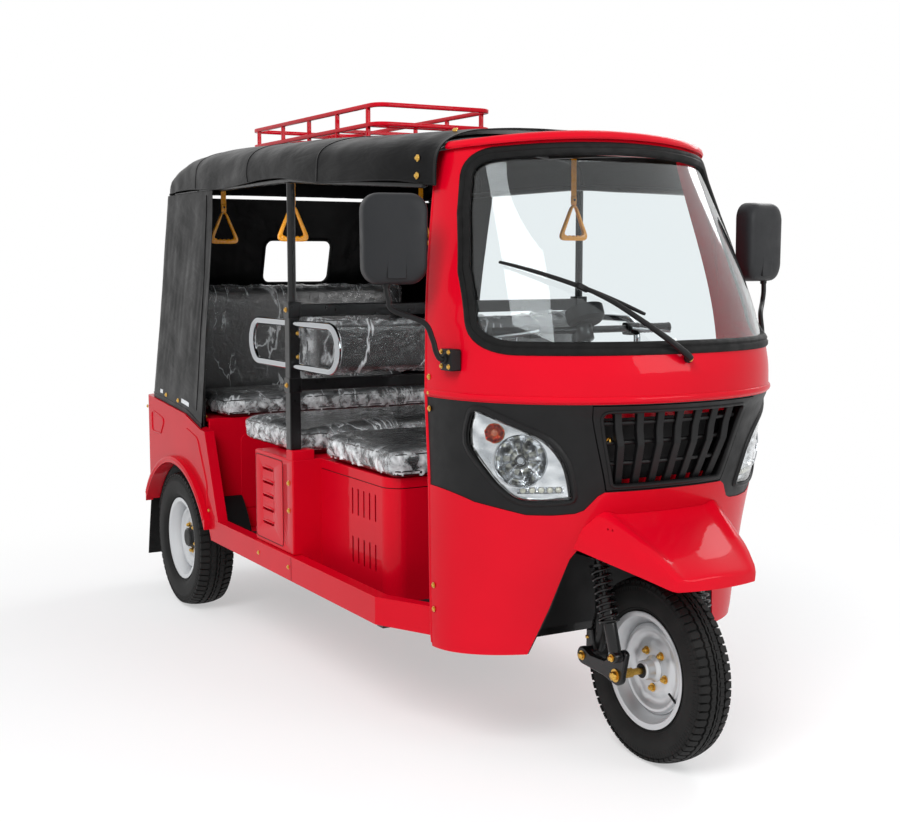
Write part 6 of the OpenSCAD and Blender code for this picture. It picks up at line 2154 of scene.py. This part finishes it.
def cushion(name, node, low, high, corner, shrink, cap, upAxis, seed):
    # A swollen pad with its piping and its film; upAxis is 2 for a seat and 1 for a backrest
    low, high = np.array(low), np.array(high)
    wide, deep = high[0] - low[0] - 2 * shrink, high[1] - low[1] - 2 * shrink
    middle = (low + high) / 2
    plan = [(middle[0] + a, middle[1] + b) for a, b in roundedRect(wide, deep, corner, 6)]
    start = prism(name, plan, low[2] + (0 if upAxis == 2 else shrink), high[2] - shrink, "z", seatMaterial)
    start = soften(start, min(0.03, corner * 0.8, deep * 0.3), 4)
    pad = swell(start, cap, low + [0, 0, 0.0002], high)
    points, normals = meshPoints(pad)
    share = (points - middle) / ((high - low) / 2)
    if upAxis == 2:  # crown of the face, and sides drawn in between the corners
        points[:, 2] -= 0.006 * np.clip(share[:, 0] ** 4 + share[:, 1] ** 4, 0,
                                        1) * (points[:, 2] > middle[2])
        rim = np.clip((np.abs(share[:, 1]) - 0.8) / 0.2, 0, 1)
        points[:, 1] -= np.sign(share[:, 1]) * 0.005 * (1 - share[:, 0] ** 2) * rim
    else:
        points[:, 1] += 0.006 * np.clip(share[:, 0] ** 4 + share[:, 2] ** 4, 0,
                                        1) * (points[:, 1] < middle[1])
        rim = np.clip((np.abs(share[:, 2]) - 0.8) / 0.2, 0, 1)
        points[:, 2] -= np.sign(share[:, 2]) * 0.004 * (1 - share[:, 0] ** 2) * rim
    points -= normals * crumple(points, normals, 0.0015, seed + 3, upAxis)[:, None]
    points = np.clip(points, low + [0, 0, 0.0002], high)
    pad.data.vertices.foreach_set("co", points.ravel())
    pad.data.polygons.foreach_set("use_smooth", [True] * len(pad.data.polygons))
    pad.data.materials.clear()
    pad.data.materials.append(seatMaterial)
    pad.data.update()
    parts = []
    if upAxis == 2:
        ring = [(middle[0] + a, middle[1] + b) for a, b in roundedRect(wide + 0.02, deep + 0.02,
                                                                       corner + 0.01, 10)]
        for t in (0.16, 0.84):
            height = low[2] + (high[2] - low[2]) * t
            parts.append(welt(pad, [(a, b, height) for a, b in dense(ring, 0.02)], 0.0026))
    else:
        ring = [(middle[0] + a, middle[2] + b) for a, b in roundedRect(wide + 0.02, high[2] - low[2] + 0.01,
                                                                       0.03, 10)]
        face = low[1] + (high[1] - low[1]) * 0.2
        parts.append(welt(pad, [(a, face, b) for a, b in dense(ring, 0.02)], 0.0026))
    place(pad, "body", node, slot="seat_vinyl")
    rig.padded(pad, fill=0.85)
    place(join(name + "Welt", parts), "body")
    size = high - low
    if upAxis == 2:
        flat = (size[0] + 2 * size[2], size[1] + 2 * size[2])
        area = size[0] * size[1] + 2 * (size[0] + size[1]) * size[2]
    else:
        flat = (size[0] + 2 * size[1], size[2] + 2 * size[1])
        area = size[0] * size[2] + 2 * (size[0] + size[2]) * size[1]
    filmCover(name + "Film", pad, low, upAxis, tuple(map(float, flat)), float(area), seed)


seatTop = seatZ + 0.1023
px = post["x"] - post["half"] - 0.008
cushion("driverSeat", "driver_seat", (-box["x"] - 0.02, box["front"] - 0.04, seatZ + 0.0003),
        (box["x"] + 0.02, postY - 0.058, seatTop), 0.04, 0.007, 0.009, 2, 1.0)
cushion("middleBench", "middle_bench", (-px, postY + 0.022, seatZ + 0.0003), (px, postY + 0.6, seatTop),
        0.04, 0.007, 0.009, 2, 12.0)
cushion("middleBackrest", "middle_backrest", (-px, postY - 0.052, post["barLow"] + 0.0003),
        (px, postY + 0.04, post["barHigh"] - 0.0003), 0.035, 0.006, 0.008, 1, 23.0)
cushion("rearBench", "rear_bench_cushion", (-0.535, benchFront - 0.035, benchZ + 0.0003),
        (0.535, tailY - 0.31, benchZ + 0.0943), 0.04, 0.007, 0.009, 2, 34.0)
cushion("rearBackrest", "rear_backrest", (-0.52, tailY - 0.308, benchZ + 0.0003),
        (0.52, tailY - 0.208, benchZ + 0.53), 0.04, 0.006, 0.009, 1, 45.0)
print("cushions")

# ---- Rear body ----

rearLow = floorTop + 0.035
bodyParts = [refined("rearShell", "rear_body", 0.004, 3, red)]
lipAngles = [a for a in np.linspace(-0.25, math.pi + 0.25, 90) if archZ + (archR + 0.013)
             * math.sin(a) > rearLow + 0.004 and abs((archR + 0.013) * math.cos(a)) < 0.372]
for s in (-1, 1):
    edge = [(s * (halfWidth + 0.0125), archY + (archR + 0.0135) * math.cos(a),
             archZ + (archR + 0.0135) * math.sin(a)) for a in lipAngles]
    bodyParts.append(tube("lip", edge, 0.0128, red, 16))
    x = s * (halfWidth + 0.0002)
    trapezoid = [(x, tailY - 0.10, 0.79), (x, tailY - 0.27, 0.765), (x, tailY - 0.215, 0.70),
                 (x, tailY - 0.10, 0.70)]
    bodyParts.append(tube("emboss", roundCorners(trapezoid, 0.022, True, 6), 0.0036, red, 8, True))
    line = [(x, rearFrontY + 0.34, 0.755), (x, rearFrontY + 0.215, 0.73), (x, rearFrontY + 0.115, 0.56),
            (x, rearFrontY + 0.118, 0.47)]
    bodyParts.append(tube("emboss", roundCorners(line, 0.05, False, 8), 0.0036, red, 8))
    for y, z in ((rearFrontY + 0.10, 0.46), (tailY - 0.04, 0.47), (tailY - 0.04, 0.80)):
        bodyParts += boltHead((s * halfWidth, y, z), (s, 0, 0), 0.0055, 0.004, gold, 0.008)
place(join("rearBody", bodyParts), "body", "rear_body", slot="red_paint")

hatch = refined("hatch", "luggage_hatch", 0.003, 2, red)
hatchPanel = [(a, 0.62 + b) for a, b in roundedRect(0.62, 0.22, 0.04, 6)]
hatchParts = [hatch, soften(prism("panel", hatchPanel, tailY - 0.002, tailY + 0.0022, "y", red), 0.0018)]
for x in (-0.255, -0.285, 0.255, 0.285):
    hatchParts += boltHead((x, tailY + 0.004, 0.765), (0, 1, 0), 0.006, 0.004, gold)
hatchParts.append(rod("keyhole", (0, tailY + 0.018, 0.5), (0, tailY + 0.0195, 0.5), 0.008, chrome, 24))
place(join("luggageHatch", hatchParts), "luggage_hatch", "luggage_hatch", slot="red_paint")


def tailLamp():
    x0, x1 = 0.44, halfWidth - 0.06
    z0, z1 = 0.47, 0.6
    ringAt = lambda g: [((x0 + x1) / 2 + a, (z0 + z1) / 2 + b) for a,
                        b in roundedRect(x1 - x0 - 2 * g, z1 - z0 - 2 * g, 0.016, 5)]
    parts = [soften(prism("base", ringAt(0), tailY + 0.0003, tailY + 0.012, "y", plastic), 0.002)]
    rings = [[(x, y, z) for x, z in ringAt(g)] for y, g in ((tailY + 0.011, 0.004), (tailY + 0.022, 0.004),
                                                            (tailY + 0.0275, 0.0075),
                                                            (tailY + 0.0298, 0.014))]
    parts.append(solid("lens", rings, redLens, 35))
    for k in range(7):
        x = x0 + 0.016 + k * (x1 - x0 - 0.032) / 6
        parts.append(rod("rib", (x, tailY + 0.0285, z0 + 0.016), (x, tailY + 0.0285, z1 - 0.016), 0.0013,
                         redLens, 6))
    return parts


place(both("tailLamps", tailLamp()), "body", "tail_lamps", slot="red_lens")


def flap():
    # Mud flap with stiffening ribs and a rolled foot
    x0, x1 = halfWidth - 0.148, halfWidth - 0.012
    profile = smoothPath([(0, tailY - 0.019, rearLow - 0.0005), (0, tailY - 0.004, 0.33),
                          (0, tailY + 0.018, 0.24), (0, tailY + 0.04, 0.133)], 6)
    t = 0.003  # half the thickness
    rows = [[(x0, p.y - t, p.z), (x1, p.y - t, p.z), (x1, p.y + t, p.z), (x0, p.y + t, p.z)] for p in profile]
    parts = [soften(solid("flap", rows, soft, 35), 0.0015)]
    for k in range(6):
        x = x0 + 0.02 + k * 0.0195
        parts.append(tube("rib", [(x, p.y + 0.0025, p.z) for p in profile[1:-2]], 0.0018, soft, 6))
    foot = profile[-1]
    parts.append(tube("foot", [(x, foot.y, foot.z + 0.004) for x in (x0 + 0.002, x1 - 0.002)], 0.0038, soft,
                      10))
    return parts


place(both("mudFlaps", flap()), "body", "mud_flaps", slot="black_rubber")

# ---- Floor, mats and underside ----

floorParts = [refined("pan", "floor_pan", 0.006, 3, red)]
for s in (-1, 1):
    seam = [(s * (halfWidth + 0.0001), postY - 0.045, z) for z in (0.4275, 0.3475)]
    floorParts.append(tube("seam", seam, 0.0009, plastic, 6))
    floorParts += boltHead((s * (halfWidth - 0.063), frontY + 0.53, 0.4), (s, -0.2, 0), 0.006, 0.005, gold,
                           0.009)
    for y in (postY - 0.02, postY + 0.25):
        floorParts += boltHead((s * halfWidth, y, 0.39), (s, 0, 0), 0.005, 0.004, gold, 0.008)
place(join("floorPan", floorParts), "body", "floor_pan", slot="red_paint")


def mat(rearEnds, frontEnds, rearEdge, frontEdge, count, lift):
    # A ribbed mat between two edges, each given by its ends across and its place along
    a, b = [np.array((x, rearEdge), float) for x in rearEnds]
    d, c = [np.array((x, frontEdge), float) for x in frontEnds]
    top, base = [], []
    m, n = count
    for k in range(m):
        t = k / (m - 1)
        left, right = a + (d - a) * t, b + (c - b) * t
        rowTop, rowBase = [], []
        for j in range(n):
            x, y = left + (right - left) * j / (n - 1)
            z = floorTop + 0.0004 + lift(x, y)
            rowTop.append((x, y, z + 0.0045 + 0.0007 * math.cos(2 * math.pi * j / 3)))
            rowBase.append((x, y, z))
        top.append(rowTop)
        base.append(rowBase)
    return shell("mat", np.array(top), np.array(base), matRubber, 40)


def frontLift(x, y):
    return (0.016 * max(0, (abs(x) - 0.50) / 0.07) ** 2 * (0.6 + 0.4 * math.sin(y * 9))
            + 0.004 * abs(crease(x * 3, y * 3, 0, 4)))


def sideLift(x, y):
    return (0.020 * max(0, (abs(x) - 0.52) / 0.05) ** 1.6 * (0.55 + 0.45 * math.sin(y * 11 + 1))
            + 0.012 * max(0, (y - postY + 0.16) / 0.12) ** 2)


def backLift(x, y):
    return (0.014 * max(0, (abs(x) - 0.50) / 0.07) ** 2 * (0.6 + 0.4 * math.sin(y * 12))
            + 0.003 * abs(crease(x * 3, y * 3, 0, 9)))


matX, backX = 0.92 * halfWidth, 0.539
bulkY = frontY + 0.371 + 0.006
mats = [mat((-matX, matX), (-0.47, 0.47), box["front"] - 0.006, bulkY + 0.06, (22, 181), frontLift)]
for s in (-1, 1):
    ends = sorted((s * (box["x"] + 0.005), s * matX))
    mats.append(mat(ends, ends, postY - 0.041, box["front"] - 0.004, (50, 24), sideLift))
mats.append(mat((-backX, backX), (-backX, backX), archY - 0.405, box["stepBack"] + 0.006, (26, 181),
                backLift))
place(join("floorMats", mats), "body", "floor_mats", slot="black_rubber")

place(refined("wheelHousings", "wheel_housings", 0.002, 2, plastic), "body", "wheel_housings")
place(refined("chassisFrame", "chassis_frame", 0.003, 2, black), "body", "chassis_frame", slot="black_paint")
place(refined("dashPanel", "dashboard", 0.002, 2, plastic), "body", "dashboard")
place(refined("engineBlock", "engine", 0.006, 2, iron), "body", "engine")
axleParts = [refined("axle", "rear_axle", 0.003, 2, iron)]
for s in (-1, 1):
    for k in range(6):
        a = math.pi * k / 3
        axleParts += boltHead((s * 0.101, rearY + 0.05 * math.cos(a), 0.28 + 0.05 * math.sin(a)), (s, 0, 0),
                              0.006, 0.005, gold)
place(join("rearAxle", axleParts), "body", "rear_axle")
springParts = [refined("springs", "leaf_springs", 0.002, 2, black)]
for s in (-1, 1):
    for y in (rearY - 0.035, rearY + 0.035):
        bend = [(s * 0.319, y, 0.285), (s * 0.319, y, 0.3395), (s * 0.381, y, 0.3395), (s * 0.381, y, 0.285)]
        springParts.append(tube("clamp", roundCorners(bend, 0.01), 0.0045, iron, 8))
place(join("leafSprings", springParts), "body", "leaf_springs")
place(refined("exhaustPipe", "exhaust", 0.004, 2, iron), "body", "exhaust")
print("underside")

# ---- Cab edges and screws ----

edges = []
zs = np.linspace(noseZ + 0.012, visorZ - 0.004, 60)
for s in (-1, 1):
    path = [(s * (float(cabSide(z)) - 0.0035), float(cabDoor(z)) - 0.001, z) for z in zs]
    edges.append(tube("bead", path, 0.0062, red, 12))
    for z in (beltZ + 0.045, beltZ, beltZ - 0.045, 0.43, 0.5):
        at = Vector((s * (float(cabSide(z)) + 0.0005), float(cabDoor(z)) - 0.022, z))
        edges += boltHead(at, (s, 0, 0), 0.0055, 0.0045, gold, 0.0085)
place(join("cabEdges", edges), "body")
print("edges")


# ---- Stage ----

stageSizes = {"floorHalf": 30.0, "lens": 54.37, "turn": 29.71, "dip": 6.26, "shadowFill": 0.46}


def floorMaterial():
    # White paper sweep: keeps the soft shadow and fades into the white background
    material, tree, shader = surface("white_paper_sweep", "FAFAFA", 0.8)
    feed(tree, shader, Roughness=spread(tree, waves(tree, 0.4), 0.75, 0.85))
    where = add(tree, "SeparateXYZ", {0: add(tree, "TexCoord").outputs["Object"]})
    far = add(tree, "VectorMath",
              {0: add(tree, "CombineXYZ", {"X": where.outputs["X"], "Y": where.outputs["Y"]}).outputs[0]},
              operation="LENGTH")
    fade = add(tree, "MapRange", {0: far.outputs["Value"]}, {1: 1.5, 2: 3.2, 3: stageSizes["shadowFill"],
                                                             4: 1.0},
               interpolation_type="SMOOTHSTEP").outputs[0]
    white = add(tree, "Emission", None, {"Color": (1, 1, 1, 1), "Strength": 1.0}).outputs[0]
    share = maths(tree, "MULTIPLY", fade, seenRays(tree))
    mixed = add(tree, "MixShader", {0: share, 1: shader.outputs[0], 2: white}).outputs[0]
    tree.links.new(mixed, tree.nodes["Material Output"].inputs["Surface"])
    return material


def seenRays(tree):
    # One for rays that show the background: from the camera, off metal and through glass
    paths = add(tree, "LightPath")
    seen = maths(tree, "MAXIMUM", paths.outputs["Is Camera Ray"], paths.outputs["Is Transmission Ray"])
    return maths(tree, "MAXIMUM", seen, paths.outputs["Is Glossy Ray"])


half = stageSizes["floorHalf"]
corners = [(-half, -half, 0), (half, -half, 0), (half, half, 0), (-half, half, 0)]
floor = addMesh("floor", corners, [(0, 1, 2, 3)], floorMaterial())
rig.stage(floor)

world = bpy.data.worlds.new("studio")
bpy.context.scene.world = world
world.use_nodes = True
tree = world.node_tree
direction = add(tree, "SeparateXYZ", {0: add(tree, "TexCoord").outputs["Generated"]}).outputs["Z"]
sky = blendColours(tree, add(tree, "MapRange", {0: direction}, {1: -0.05, 2: 0.7, 3: 0.0,
                                                                4: 1.0}).outputs[0], "C9CCD0", "F4F7FA")
background = tree.nodes["Background"]
tree.links.new(sky, background.inputs["Color"])
background.inputs["Strength"].default_value = 0.62
backdrop = add(tree, "Background", None, {"Color": (1, 1, 1, 1), "Strength": 1.0})
mixed = add(tree, "MixShader", {0: seenRays(tree), 1: background.outputs[0],
                                2: backdrop.outputs[0]}).outputs[0]
tree.links.new(mixed, tree.nodes["World Output"].inputs["Surface"])


def softLight(name, at, target, size, power, colour="FFFFFF"):
    data = bpy.data.lights.new(name, "AREA")
    data.shape, data.size, data.size_y, data.energy = "RECTANGLE", size[0], size[1], power
    data.color = linear(colour)[:3]
    light = bpy.data.objects.new(name, data)
    bpy.context.collection.objects.link(light)
    light.location = at
    light.rotation_euler = (Vector(target) - Vector(at)).to_track_quat("-Z", "Y").to_euler()
    return light


key = softLight("key", (-4.5, -4.0, 5.5), (0, -0.3, 0.8), (3.5, 3.5), 400)
key.visible_glossy = False  # keeps its square out of the windscreen
softLight("rim", (4.5, 1.5, 4.5), (0, 0, 1.0), (3, 3), 130)
softLight("front", (2.5, -6.5, 3.0), (0, -1, 1.0), (3, 2), 110)

data = bpy.data.cameras.new("camera")
data.lens, data.sensor_width = stageSizes["lens"], 36.0
camera = bpy.data.objects.new("camera", data)
bpy.context.collection.objects.link(camera)
camera.location = (-2.393, -4.299, 1.423)
camera.rotation_euler = (math.radians(90 - stageSizes["dip"]), 0, -math.radians(stageSizes["turn"]))
bpy.context.scene.camera = camera
bpy.context.scene.view_settings.view_transform = "Standard"

saveSize("finished")
